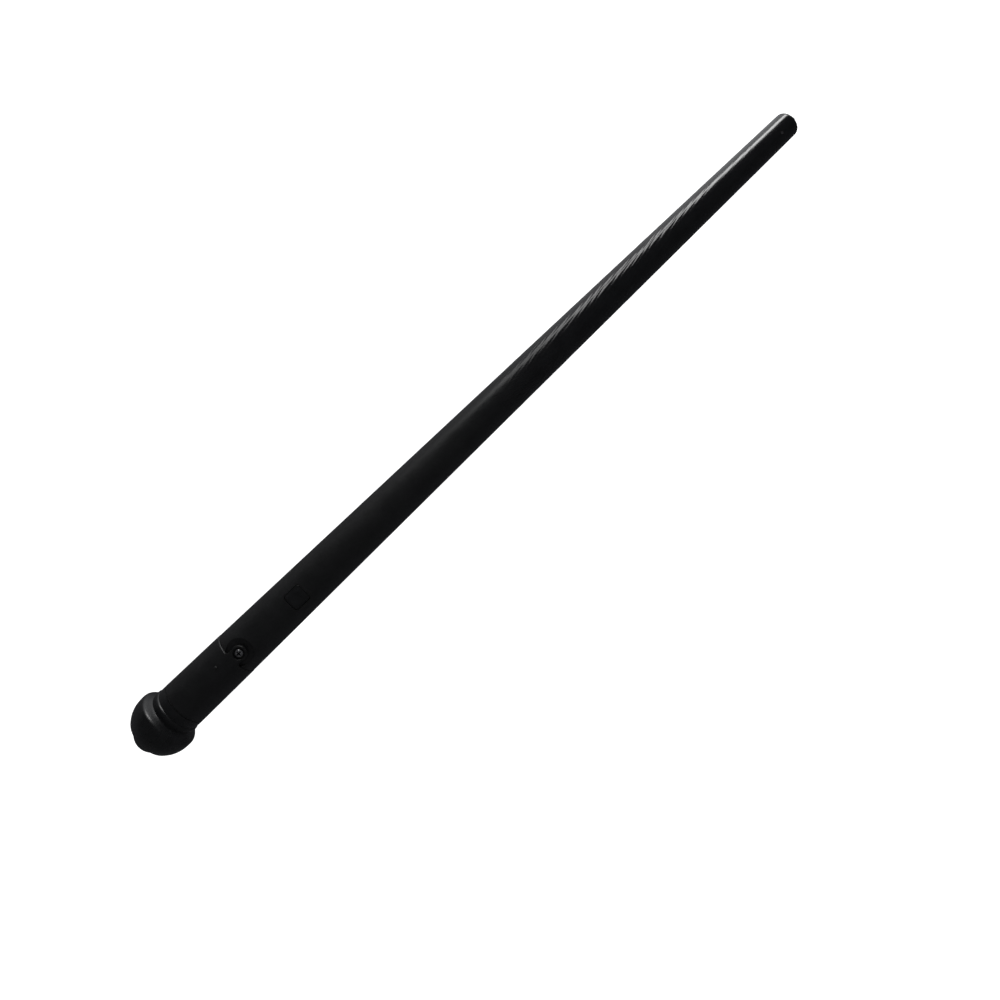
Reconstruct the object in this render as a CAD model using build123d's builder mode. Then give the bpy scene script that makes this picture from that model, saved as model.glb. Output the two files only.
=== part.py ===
"""Battery-lit toy wand: a tapered black wand with a lamp at its tip, a thumb
button, a screwed-on handle sleeve that carries the pommel and the cells.

Millimetres.  +X runs along the wand from the pommel to the tip, +Z points out
of the thumb button and the sleeve's screw.  The origin is on the wand's axis,
half-way along its length.
"""
import math
import os

from build123d import *

os.makedirs("parts", exist_ok=True)

# ---------------------------------------------------------------- dimensions
END_X = -175.4                    # outermost point of the pommel's end cap
TIP_X = 173.1                     # flat end of the shaft
LAMP_X = 175.4                    # top of the lamp's dome

SEAT_X = -151.3                   # pommel meets handle sleeve
SEAM_X = -123.25                  # handle sleeve meets shaft
SCREW_X = -119.75                 # axis of the sleeve's screw
BUTTON_X = -89.6                  # axis of the thumb button

R_BACK = 9.80                     # shaft surface radius at SEAT_X
R_TIP = 4.98                      # shaft surface radius at TIP_X
TIP_EDGE_R = 1.7                  # rounded edge of the tip
SLOPE = (R_TIP - R_BACK) / (TIP_X - SEAT_X)


def surface_r(x):
    """Outer radius of the wand's straight taper at x."""
    return R_BACK + SLOPE * (x - SEAT_X)


# spigot that the handle sleeve slides over
SPIGOT_R = 8.1
SPIGOT_BACK_X = -143.1
SPIGOT_FLAT_Z = 7.55              # flat under the tongue's path
BORE_R = 6.75                     # straight bore for cartridge and cradle
BORE_STEP_X = -65.6               # cradle's stop
NARROW_R0, NARROW_R1 = 6.2, 3.15  # wiring bore, from the step to the lamp seat
LAMP_SEAT_X = 150.4
SLOT_W = 2.4                      # slot for the screw, open to the rear
PAD_Z = 5.6                       # underside of the clamping pad

# screw pocket and tongue
POCKET_R = 5.45
POCKET_X = SCREW_X + 0.45         # pocket runs a little further forward
POCKET_Z = 7.6
TONGUE_W = 5.6
TONGUE_END_R = 3.05
TONGUE_Z = 7.65                   # underside of the tongue
CBORE_R = 2.3
CBORE_Z = 8.2

# handle sleeve
SLEEVE_BORE_R = 8.15
SLEEVE_LIP = 0.10                 # sleeve stands this far proud at the seam
SEAM_CHAMFER = 0.35               # on the shaft's shoulder
DOT_X, DOT_Y, DOT_R = -129.6, 2.1, 0.65

# screw
HEAD_R, HEAD_H = 1.6, 1.0
NECK_R = 0.8
THREAD_R = 1.0
THREAD_TOP_Z = 5.95
THREAD_END_Z = 1.6
SCREW_TRAVEL = 1.6

# thumb button
BTN_LX, BTN_LY, BTN_CORNER = 7.4, 7.2, 0.9
BTN_GAP = 0.15
BTN_FLANGE_Z0, BTN_FLANGE_Z1 = 4.40, 5.05
BTN_FLANGE_LX, BTN_FLANGE_LY = 9.2, 8.4
BTN_TRAVEL = 0.5

# board and switch
BOARD_TOP_Z, BOARD_T = 0.0, 1.0
BOARD_X0, BOARD_X1, BOARD_HALF_W = -106.6, -68.6, 6.2
SWITCH_L, SWITCH_H = 6.0, 3.5
PLUNGER_R, PLUNGER_TOP_Z = 1.7, 4.3

# cells: three button cells in a stack
CELL_R, CELL_H, CELL_X1 = 5.8, 5.4, -127.25
CELL_GAP = 0.02
PLATE_T = 0.3

# cartridge
CART_R = 6.70
CART_X0, CART_X1 = -157.1, -111.9
CART_BORE_R = 5.87
SPRING_PLATE_X = -150.2           # rear face of the negative plate

# lamp: 5 mm round diode
LAMP_R, LAMP_FLANGE_R, LAMP_FLANGE_T, LAMP_H = 2.5, 2.9, 1.0, 8.7
LEAD_PITCH, LEAD_SQ = 2.54, 0.5
LEAD_END_X = 150.9
HOLDER_X0 = 157.9
PEG_X, PEG_ANGLE, PEG_R = 165.2, 7.0, 0.55

# wires
WIRE_R = 0.6
WIRE_Y = LEAD_PITCH / 2

# pommel
BALL_X, BALL_R = -161.5, 12.85
BALL_END_X = -170.2               # ball's rear flat, under the end cap
CAP_R = 7.35
CAP_RISE = 4.69
PLUG_R = 8.12                     # pommel spigot in the sleeve's bore
PLUG_X1 = -144.2

written = []


def write(builder, name):
    """Label a finished piece and write its STEP."""
    builder.part.label = name
    export_step(builder.part, f"parts/{name}.step")
    written.append(name)


# ------------------------------------------------------------ shaft (moulded)
with BuildPart() as shaft_tube:
    with BuildSketch(Plane.XZ):
        with BuildLine():
            Polyline(
                (SPIGOT_BACK_X, BORE_R),
                (SPIGOT_BACK_X, SPIGOT_R),
                (SEAM_X, SPIGOT_R),
                (SEAM_X, surface_r(SEAM_X) - SEAM_CHAMFER),
                (SEAM_X + SEAM_CHAMFER, surface_r(SEAM_X + SEAM_CHAMFER)),
                (TIP_X - TIP_EDGE_R, surface_r(TIP_X - TIP_EDGE_R)),
            )
            tip_arc = ThreePointArc(
                (TIP_X - TIP_EDGE_R, surface_r(TIP_X - TIP_EDGE_R)),
                (
                    TIP_X - TIP_EDGE_R * (1 - math.sin(math.radians(45))),
                    surface_r(TIP_X - TIP_EDGE_R)
                    - TIP_EDGE_R * (1 - math.cos(math.radians(45))),
                ),
                (TIP_X, surface_r(TIP_X - TIP_EDGE_R) - TIP_EDGE_R),
            )
            Polyline(
                (TIP_X, surface_r(TIP_X - TIP_EDGE_R) - TIP_EDGE_R),
                (TIP_X, LAMP_R + 0.05),
                (LAMP_X - LAMP_H + LAMP_FLANGE_T + 0.02, LAMP_R + 0.05),
                (LAMP_X - LAMP_H + LAMP_FLANGE_T + 0.02, NARROW_R1),
                (LAMP_SEAT_X, NARROW_R1),
                (BORE_STEP_X, NARROW_R0),
                (BORE_STEP_X, BORE_R),
                (SPIGOT_BACK_X, BORE_R),
            )
        make_face()
    revolve(axis=Axis.X)
    # lead-in on the spigot and at the shoulder
    chamfer(
        shaft_tube.edges()
        .filter_by(GeomType.CIRCLE)
        .filter_by(lambda e: abs(e.center().X - SPIGOT_BACK_X) < 1e-3 and e.radius > 8),
        length=0.4,
    )
    # flat along the spigot, for the tongue to pass over
    with BuildSketch(Plane.XY.offset(SPIGOT_FLAT_Z)):
        with Locations(((SPIGOT_BACK_X + SEAM_X) / 2 - 1, 0)):
            Rectangle(SEAM_X - SPIGOT_BACK_X + 2, 12)
    extrude(amount=4, mode=Mode.SUBTRACT)
    # clamping pad under the tongue
    with BuildSketch(Plane.XY.offset(PAD_Z)):
        with Locations((SCREW_X - 0.4, 0)):
            Rectangle(7.4, 7.0)
    extrude(until=Until.NEXT)
    # screw pocket: flat floor, round outline that runs out at both sides
    with BuildSketch(Plane.XY.offset(POCKET_Z)):
        with Locations((POCKET_X, 0)):
            Circle(POCKET_R)
        with Locations((SEAM_X - 5, 0)):
            Rectangle(10, 12, mode=Mode.SUBTRACT)
    extrude(amount=4, mode=Mode.SUBTRACT)
    # slot that lets the screw out to the rear
    with BuildSketch(Plane.XY.offset(PAD_Z - 1)):
        with Locations((SCREW_X, 0)):
            Circle(SLOT_W / 2)
        with Locations(((SCREW_X + SPIGOT_BACK_X - 2) / 2, 0)):
            Rectangle(SCREW_X - SPIGOT_BACK_X + 2, SLOT_W)
    extrude(amount=6, mode=Mode.SUBTRACT)
    # thumb-button opening
    with BuildSketch(Plane.XY.offset(2.0)):
        with Locations((BUTTON_X, 0)):
            RectangleRounded(
                BTN_LX + 2 * BTN_GAP, BTN_LY + 2 * BTN_GAP, BTN_CORNER + BTN_GAP
            )
    extrude(amount=8, mode=Mode.SUBTRACT)
    # relief inside the wall for the button's flange
    with BuildSketch(Plane.XY.offset(3.0)):
        with Locations((BUTTON_X, 0)):
            Rectangle(BTN_FLANGE_LX + 0.5, BTN_FLANGE_LY + 0.5)
    extrude(amount=BTN_FLANGE_Z1 + 0.05 - 3.0, mode=Mode.SUBTRACT)
    # hole for the lamp holder's snap peg
    peg_plane = Plane(
        origin=(PEG_X, 0, 0),
        z_dir=(
            0,
            -math.sin(math.radians(PEG_ANGLE)),
            math.cos(math.radians(PEG_ANGLE)),
        ),
        x_dir=(1, 0, 0),
    )
    with BuildSketch(peg_plane):
        Circle(PEG_R + 0.06)
    extrude(amount=8, mode=Mode.SUBTRACT)
write(shaft_tube, "shaft_tube")

# -------------------------------------------------------------- handle sleeve
with BuildPart() as tongue:
    # lug with a round end about the screw
    with BuildSketch(Plane.XY.offset(TONGUE_Z)):
        with Locations(((SEAM_X - 0.9 + SCREW_X) / 2, 0)):
            Rectangle(SCREW_X - SEAM_X + 0.9, TONGUE_W)
        with Locations((SCREW_X, 0)):
            Circle(TONGUE_END_R)
        # it flares into the sleeve's lip
        for side in (1, -1):
            with BuildLine():
                Polyline(
                    (SEAM_X + 0.7, side * TONGUE_W / 2),
                    (SEAM_X - 0.5, side * TONGUE_W / 2),
                    (SEAM_X - 0.5, side * (TONGUE_W / 2 + 0.7)),
                    (SEAM_X - 0.03, side * (TONGUE_W / 2 + 0.7)),
                )
                ThreePointArc(
                    (SEAM_X - 0.03, side * (TONGUE_W / 2 + 0.7)),
                    (SEAM_X + 0.19, side * (TONGUE_W / 2 + 0.21)),
                    (SEAM_X + 0.7, side * TONGUE_W / 2),
                )
            make_face()
    extrude(amount=4)
    # its top carries the wand's taper
    with BuildSketch(Plane.XZ):
        Polygon(
            (SEAM_X - 4, 0),
            (SEAM_X - 4, surface_r(SEAM_X - 4) + SLEEVE_LIP),
            (SCREW_X + 6, surface_r(SCREW_X + 6) + SLEEVE_LIP),
            (SCREW_X + 6, 0),
            align=None,
        )
    revolve(axis=Axis.X, mode=Mode.INTERSECT)

with BuildPart() as handle_sleeve:
    with BuildSketch(Plane.XZ):
        Polygon(
            (SEAT_X, SLEEVE_BORE_R),
            (SEAT_X, surface_r(SEAT_X) - 0.4),
            (SEAT_X + 0.45, surface_r(SEAT_X + 0.45)),
            (SEAM_X - 0.53, surface_r(SEAM_X) + SLEEVE_LIP),
            (SEAM_X - 0.03, surface_r(SEAM_X) + SLEEVE_LIP - 0.42),
            (SEAM_X - 0.03, SLEEVE_BORE_R),
            align=None,
        )
    revolve(axis=Axis.X)
    add(tongue.part)
    # counterbore and hole for the captive screw
    with BuildSketch(Plane.XY.offset(CBORE_Z)):
        with Locations((SCREW_X, 0)):
            Circle(CBORE_R)
    extrude(amount=3, mode=Mode.SUBTRACT)
    with BuildSketch(Plane.XY.offset(7.0)):
        with Locations((SCREW_X, 0)):
            Circle(NECK_R + 0.1)
    extrude(amount=3, mode=Mode.SUBTRACT)
    # small moulded dot on the sleeve
    dot_angle = math.asin(DOT_Y / surface_r(DOT_X))
    dot_plane = Plane(
        origin=(
            DOT_X,
            (surface_r(DOT_X) - 0.3) * math.sin(dot_angle),
            (surface_r(DOT_X) - 0.3) * math.cos(dot_angle),
        ),
        z_dir=(0, math.sin(dot_angle), math.cos(dot_angle)),
        x_dir=(1, 0, 0),
    )
    with BuildSketch(dot_plane):
        Circle(DOT_R)
    extrude(amount=0.66)
    fillet(
        handle_sleeve.edges()
        .filter_by(GeomType.CIRCLE)
        .sort_by(lambda e: (e.center() - (dot_plane.origin + dot_plane.z_dir * 0.66)).length)[0],
        radius=0.2,
    )
write(handle_sleeve, "handle_sleeve")

# ------------------------------------------------------------- captive screw
with BuildPart() as sleeve_screw:
    with BuildSketch(Plane.XZ):
        with BuildLine():
            Polyline(
                (0, CBORE_Z + 0.02 + HEAD_H),
                (HEAD_R * 0.55, CBORE_Z + 0.02 + HEAD_H),
            )
            ThreePointArc(
                (HEAD_R * 0.55, CBORE_Z + 0.02 + HEAD_H),
                (HEAD_R * 0.88, CBORE_Z + 0.02 + HEAD_H * 0.82),
                (HEAD_R, CBORE_Z + 0.02 + HEAD_H * 0.35),
            )
            Polyline(
                (HEAD_R, CBORE_Z + 0.02 + HEAD_H * 0.35),
                (HEAD_R, CBORE_Z + 0.02),
                (NECK_R, CBORE_Z + 0.02),
                (NECK_R, THREAD_TOP_Z),
                (THREAD_R, THREAD_TOP_Z - 0.2),
                (THREAD_R, THREAD_END_Z + 1.2),
                (0.35, THREAD_END_Z),
                (0, THREAD_END_Z),
                (0, CBORE_Z + 0.02 + HEAD_H),
            )
        make_face()
    revolve(axis=Axis.Z)
    # cross recess
    with BuildSketch(Plane.XY.offset(CBORE_Z + 0.02 + HEAD_H)):
        Rectangle(2.0, 0.42)
        Rectangle(0.42, 2.0)
        Circle(0.42)
    extrude(amount=-0.6, taper=14, mode=Mode.SUBTRACT)
sleeve_screw.part = sleeve_screw.part.moved(Location((SCREW_X, 0, 0)))
write(sleeve_screw, "sleeve_screw")

# ------------------------------------------------ pommel: ball, lip and rings
with BuildPart() as pommel:
    with BuildSketch(Plane.XZ):
        with BuildLine():
            ball_rear_r = math.sqrt(BALL_R**2 - (BALL_END_X + 0.55 - BALL_X) ** 2)
            Polyline(
                (BALL_END_X, 5.05),
                (BALL_END_X, ball_rear_r - 0.95),
                (BALL_END_X + 0.55, ball_rear_r),
            )
            ThreePointArc(
                (BALL_END_X + 0.55, ball_rear_r),
                (
                    BALL_X - (BALL_R + 0.1) * math.cos(math.radians(58)),
                    (BALL_R + 0.1) * math.sin(math.radians(58)),
                ),
                (BALL_X, BALL_R),
            )
            # rounded front lip of the ball
            Spline(
                (BALL_X, BALL_R),
                (BALL_X + 1.20, 12.76),
                (BALL_X + 1.95, 12.30),
                (BALL_X + 2.55, 11.42),
                (BALL_X + 3.05, 10.50),
                (BALL_X + 3.50, 9.80),
                tangents=((1, 0), (0.6, -1)),
            )
            # raised ring with a steep front, then a plain collar
            Spline(
                (BALL_X + 3.50, 9.80),
                (BALL_X + 4.50, 9.92),
                (BALL_X + 5.70, 10.12),
                (BALL_X + 6.25, 9.98),
                (BALL_X + 6.60, 9.62),
                tangents=((1, 0.15), (0.5, -1)),
            )
            Spline(
                (BALL_X + 6.60, 9.62),
                (BALL_X + 7.4, 9.74),
                (BALL_X + 8.4, 9.80),
                (BALL_X + 9.2, 9.80),
                tangents=((1, 0.2), (1, 0)),
            )
            Polyline(
                (BALL_X + 9.2, 9.80),
                (SEAT_X - 0.08, 9.80),
                (SEAT_X - 0.02, 9.74),
                (SEAT_X - 0.02, PLUG_R),
                (PLUG_X1, PLUG_R),
                (PLUG_X1, CART_R + 0.15),
                (CART_X0 - 0.02, CART_R + 0.15),
                (CART_X0 - 0.02, 5.05),
                (BALL_END_X, 5.05),
            )
        make_face()
    revolve(axis=Axis.X)
write(pommel, "pommel")

# ------------------------------------------------------------- pommel end cap
with BuildPart() as pommel_end_cap:
    cap_sphere_r = ((CAP_R - 0.1) ** 2 + CAP_RISE**2) / (2 * CAP_RISE)
    with BuildSketch(Plane.XZ):
        with BuildLine():
            ThreePointArc(
                (END_X, 0),
                (
                    END_X + cap_sphere_r * (1 - math.cos(math.radians(22))),
                    cap_sphere_r * math.sin(math.radians(22)),
                ),
                (END_X + CAP_RISE, CAP_R - 0.1),
            )
            Polyline(
                (END_X + CAP_RISE, CAP_R - 0.1),
                (BALL_END_X - 0.02, CAP_R - 0.4),
                (BALL_END_X - 0.02, 5.0),
                (BALL_END_X + 7.0, 5.0),
                (BALL_END_X + 7.0, 3.8),
                (BALL_END_X + 0.4, 3.8),
                (BALL_END_X + 0.4, 0),
                (END_X, 0),
            )
        make_face()
    revolve(axis=Axis.X)
write(pommel_end_cap, "pommel_end_cap")

# ---------------------------------------------------------- battery cartridge
STRIP_Y0, STRIP_Y1, STRIP_HALF_H = 6.15, 6.40, 1.5
CELLS_X0 = CELL_X1 - 3 * (CELL_H + CELL_GAP)
with BuildPart() as battery_cartridge:
    with BuildSketch(Plane.YZ.offset(CART_X0)):
        Circle(CART_R)
    extrude(amount=CART_X1 - CART_X0)
    # stacked-cell bay, open at the top
    with BuildSketch(Plane.YZ.offset(SPRING_PLATE_X)):
        Circle(CART_BORE_R)
        with Locations((0, 5)):
            Rectangle(2 * CART_BORE_R, 10)
    extrude(amount=CELL_X1 + PLATE_T + 0.04 - SPRING_PLATE_X, mode=Mode.SUBTRACT)
    # platform under the clamping pad
    with BuildSketch(Plane.XY.offset(PAD_Z - 0.08)):
        with Locations(((SEAM_X - 1.9 + CART_X1 + 1) / 2, 0)):
            Rectangle(CART_X1 + 1 - SEAM_X + 1.9, 16)
    extrude(amount=4, mode=Mode.SUBTRACT)
    # hole for the screw's thread
    with BuildSketch(Plane.XY.offset(0.6)):
        with Locations((SCREW_X, 0)):
            Circle(THREAD_R + 0.04)
    extrude(amount=8, mode=Mode.SUBTRACT)
    # hollow under the platform, leaving the screw's boss
    with BuildSketch(Plane.XY.offset(-8)):
        with Locations((SCREW_X, 0)):
            Rectangle(9.0, 8.4)
            Circle(2.5, mode=Mode.SUBTRACT)
    extrude(amount=12.0, mode=Mode.SUBTRACT)
    # grooves for the two contact strips
    with BuildSketch(Plane.XY.offset(-STRIP_HALF_H - 0.05)):
        with Locations(((SPRING_PLATE_X + CART_X1) / 2, 7.2)):
            Rectangle(CART_X1 - SPRING_PLATE_X, 2 * (7.2 - STRIP_Y0))
        with Locations(((CELL_X1 + CART_X1) / 2, -7.2)):
            Rectangle(CART_X1 - CELL_X1, 2 * (7.2 - STRIP_Y0))
    extrude(amount=2 * STRIP_HALF_H + 0.1, mode=Mode.SUBTRACT)
    # slits through which the strips join their plates
    with BuildSketch(Plane.YZ.offset(SPRING_PLATE_X)):
        with Locations((5.8, 0)):
            Rectangle(1.6, 2 * STRIP_HALF_H + 0.1)
    extrude(amount=PLATE_T + 0.05, mode=Mode.SUBTRACT)
    with BuildSketch(Plane.YZ.offset(CELL_X1)):
        with Locations((-5.8, 0)):
            Rectangle(1.6, 2 * STRIP_HALF_H + 0.1)
    extrude(amount=PLATE_T + 0.05, mode=Mode.SUBTRACT)
    # rear recess
    with BuildSketch(Plane.YZ.offset(CART_X0)):
        Circle(4.6)
    extrude(amount=5.2, mode=Mode.SUBTRACT)
write(battery_cartridge, "battery_cartridge")

# ------------------------------------------------------------- contact strips
with BuildPart() as negative_strip:
    with BuildSketch(Plane.YZ.offset(SPRING_PLATE_X + 0.02)):
        Circle(5.5)
        with Locations(((5.0 + STRIP_Y1) / 2, 0)):
            Rectangle(STRIP_Y1 - 5.0, 2 * STRIP_HALF_H)
    extrude(amount=PLATE_T)
    with BuildSketch(Plane.XY.offset(-STRIP_HALF_H)):
        with Locations(((SPRING_PLATE_X + 0.02 + CART_X1 + PLATE_T) / 2, (STRIP_Y0 + 0.02 + STRIP_Y1) / 2)):
            Rectangle(CART_X1 + PLATE_T - SPRING_PLATE_X - 0.02, STRIP_Y1 - STRIP_Y0 - 0.02)
        with Locations((CART_X1 + 0.02 + PLATE_T / 2, (2.0 + STRIP_Y1) / 2)):
            Rectangle(PLATE_T - 0.04, STRIP_Y1 - 2.0)
    extrude(amount=2 * STRIP_HALF_H)
write(negative_strip, "negative_strip")

with BuildPart() as positive_strip:
    with BuildSketch(Plane.YZ.offset(CELL_X1 + 0.02)):
        Circle(5.5)
        with Locations((-(5.0 + STRIP_Y1) / 2, 0)):
            Rectangle(STRIP_Y1 - 5.0, 2 * STRIP_HALF_H)
    extrude(amount=PLATE_T)
    with BuildSketch(Plane.XY.offset(-STRIP_HALF_H)):
        with Locations(((CELL_X1 + 0.02 + CART_X1 + PLATE_T) / 2, -(STRIP_Y0 + 0.02 + STRIP_Y1) / 2)):
            Rectangle(CART_X1 + PLATE_T - CELL_X1 - 0.02, STRIP_Y1 - STRIP_Y0 - 0.02)
        with Locations((CART_X1 + 0.02 + PLATE_T / 2, -(2.0 + STRIP_Y1) / 2)):
            Rectangle(PLATE_T - 0.04, STRIP_Y1 - 2.0)
    extrude(amount=2 * STRIP_HALF_H)
write(positive_strip, "positive_strip")

# --------------------------------------------------------- conical cell spring
SPRING_WIRE = 0.5
spring_x0 = SPRING_PLATE_X + 0.02 + PLATE_T + SPRING_WIRE / 2 + 0.01
spring_x1 = CELLS_X0 - SPRING_WIRE / 2 - 0.03
with BuildPart() as cell_spring:
    with BuildLine():
        coil = Helix(
            pitch=(spring_x1 - spring_x0) / 3.25,
            height=spring_x1 - spring_x0,
            radius=4.4,
            center=(spring_x0, 0, 0),
            direction=(1, 0, 0),
            cone_angle=-17,
        )
    with BuildSketch(Plane(origin=coil @ 0, z_dir=coil % 0)):
        Circle(SPRING_WIRE / 2)
    sweep(path=coil, is_frenet=True)
write(cell_spring, "cell_spring")

# -------------------------------------------------------------- button cells
for number in (1, 2, 3):
    x1 = CELL_X1 - (number - 1) * (CELL_H + CELL_GAP)
    with BuildPart() as button_cell:
        # can, with the smaller cap towards the pommel
        with BuildSketch(Plane.XZ):
            Polygon(
                (x1, 0),
                (x1, CELL_R - 0.35),
                (x1 - 0.35, CELL_R),
                (x1 - CELL_H + 0.75, CELL_R),
                (x1 - CELL_H + 0.45, CELL_R - 0.3),
                (x1 - CELL_H + 0.45, CELL_R - 0.9),
                (x1 - CELL_H + 0.25, CELL_R - 1.0),
                (x1 - CELL_H + 0.01, CELL_R - 1.35),
                (x1 - CELL_H + 0.01, 0),
                align=None,
            )
        revolve(axis=Axis.X)
    write(button_cell, f"button_cell_{number}")

# -------------------------------------------------------------- thumb button
with BuildPart() as thumb_button:
    with BuildSketch(Plane.XY.offset(BTN_FLANGE_Z1 - 0.05)):
        with Locations((BUTTON_X, 0)):
            RectangleRounded(BTN_LX, BTN_LY, BTN_CORNER)
    extrude(amount=4.5)
    # top follows the wand's round, a little below its surface
    with BuildSketch(Plane.XZ):
        Polygon(
            (BUTTON_X - 8, 0),
            (BUTTON_X - 8, surface_r(BUTTON_X - 8) - 0.05),
            (BUTTON_X + 8, surface_r(BUTTON_X + 8) - 0.05),
            (BUTTON_X + 8, 0),
            align=None,
        )
    revolve(axis=Axis.X, mode=Mode.INTERSECT)
    # thumb dish
    with BuildSketch(Plane.XZ):
        with BuildLine():
            dish_z = surface_r(BUTTON_X) - 0.55
            dish_r = (3.1**2 + 0.6**2) / (2 * 0.6)
            RadiusArc(
                (BUTTON_X, dish_z), (BUTTON_X + 3.1, dish_z + 0.6), -dish_r
            )
            Polyline(
                (BUTTON_X + 3.1, dish_z + 0.6),
                (BUTTON_X + 3.1, dish_z + 2),
                (BUTTON_X, dish_z + 2),
                (BUTTON_X, dish_z),
            )
        make_face()
    revolve(
        axis=Axis((BUTTON_X, 0, 0), (0, 0, 1)), mode=Mode.SUBTRACT
    )
    # flange that keeps it in the wand
    with BuildSketch(Plane.XY.offset(BTN_FLANGE_Z0)):
        with Locations((BUTTON_X, 0)):
            RectangleRounded(BTN_FLANGE_LX, BTN_FLANGE_LY, 1.5)
    extrude(amount=BTN_FLANGE_Z1 - BTN_FLANGE_Z0)
    # hollow underside
    with BuildSketch(Plane.XY.offset(BTN_FLANGE_Z0)):
        with Locations((BUTTON_X, 0)):
            RectangleRounded(BTN_LX - 2.2, BTN_LY - 2.2, 0.8)
            Circle(1.5, mode=Mode.SUBTRACT)
    extrude(amount=2.2, mode=Mode.SUBTRACT)
write(thumb_button, "thumb_button")

with BuildPart() as switch_plunger:
    with BuildSketch(Plane.XY.offset(SWITCH_H - 0.9)):
        with Locations((BUTTON_X, 0)):
            Circle(PLUNGER_R + 0.35)
    extrude(amount=0.35)
    with BuildSketch(Plane.XY.offset(SWITCH_H - 0.6)):
        with Locations((BUTTON_X, 0)):
            Circle(PLUNGER_R)
    extrude(amount=BTN_FLANGE_Z0 - 0.01 - SWITCH_H + 0.6)
write(switch_plunger, "switch_plunger")

# -------------------------------------------------------- tact switch
with BuildPart() as switch_body:
    with BuildSketch(Plane.XY.offset(BOARD_TOP_Z + 0.02)):
        with Locations((BUTTON_X, 0)):
            Rectangle(SWITCH_L, SWITCH_L)
            with GridLocations(4.6, 4.6, 2, 2):
                Circle(0.45, mode=Mode.SUBTRACT)
    extrude(amount=SWITCH_H - 0.35)
    with BuildSketch(Plane.XY.offset(1.6)):
        with Locations((BUTTON_X, 0)):
            Circle(PLUNGER_R + 0.6)
    extrude(amount=4, mode=Mode.SUBTRACT)
write(switch_body, "switch_body")

with BuildPart() as switch_cover:
    with BuildSketch(Plane.XY.offset(SWITCH_H - 0.32)):
        with Locations((BUTTON_X, 0)):
            Rectangle(SWITCH_L, SWITCH_L)
            Circle(PLUNGER_R + 0.08, mode=Mode.SUBTRACT)
    extrude(amount=0.2)
    with BuildSketch(Plane.XY.offset(BOARD_TOP_Z + 0.6)):
        with Locations((BUTTON_X - SWITCH_L / 2 - 0.11, 0), (BUTTON_X + SWITCH_L / 2 + 0.11, 0)):
            Rectangle(0.2, 2.0)
    extrude(amount=SWITCH_H - 0.32 + 0.2 - 0.6)
    with BuildSketch(Plane.XY.offset(SWITCH_H - 0.32)):
        with Locations((BUTTON_X - SWITCH_L / 2 - 0.1, 0), (BUTTON_X + SWITCH_L / 2 + 0.1, 0)):
            Rectangle(0.22, 2.0)
    extrude(amount=0.2)
write(switch_cover, "switch_cover")

PIN_X, PIN_Y = 2.0, SWITCH_L / 2 + 0.12
with BuildPart() as switch_pins:
    for side in (-1, 1):
        with BuildSketch(Plane.XY.offset(BOARD_TOP_Z - BOARD_T - 0.5)):
            with Locations(
                (BUTTON_X - PIN_X, side * PIN_Y), (BUTTON_X + PIN_X, side * PIN_Y)
            ):
                Rectangle(0.6, 0.2)
        extrude(amount=BOARD_T + 0.5 + 1.2)
write(switch_pins, "switch_pins")

# -------------------------------------------------------------- circuit board
SCREWS_X = (-102.1, -78.1)
with BuildPart() as circuit_board:
    with BuildSketch(Plane.XY.offset(BOARD_TOP_Z - BOARD_T)):
        with Locations(((BOARD_X0 + BOARD_X1) / 2, 0)):
            Rectangle(BOARD_X1 - BOARD_X0, 2 * BOARD_HALF_W)
        with Locations(*[(x, 0) for x in SCREWS_X]):
            Circle(0.9, mode=Mode.SUBTRACT)
        for side in (-1, 1):
            with Locations(
                (BUTTON_X - PIN_X, side * PIN_Y), (BUTTON_X + PIN_X, side * PIN_Y)
            ):
                Rectangle(0.9, 0.5, mode=Mode.SUBTRACT)
        with Locations((BOARD_X1 - 1.6, WIRE_Y), (BOARD_X1 - 1.6, -WIRE_Y)):
            Circle(0.25, mode=Mode.SUBTRACT)
    extrude(amount=BOARD_T)
write(circuit_board, "circuit_board")

with BuildPart() as resistor:
    with BuildSketch(Plane.XY.offset(BOARD_TOP_Z + 0.02)):
        with Locations((-74.1, 3.6)):
            Rectangle(3.2, 1.6)
    extrude(amount=0.6)
    chamfer(resistor.edges().group_by(Axis.Z)[-1], length=0.08)
write(resistor, "resistor")

with BuildPart() as board_screws:
    for x in SCREWS_X:
        with BuildSketch(Plane.XY.offset(BOARD_TOP_Z + 0.02)):
            with Locations((x, 0)):
                Circle(1.5)
        extrude(amount=0.9)
        with BuildSketch(Plane.XY.offset(BOARD_TOP_Z + 0.92)):
            with Locations((x, 0)):
                Rectangle(1.8, 0.4)
                Rectangle(0.4, 1.8)
        extrude(amount=-0.5, mode=Mode.SUBTRACT)
        with BuildSketch(Plane.XY.offset(BOARD_TOP_Z + 0.1)):
            with Locations((x, 0)):
                Circle(0.8)
        extrude(amount=-4.2)
write(board_screws, "board_screws")

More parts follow.
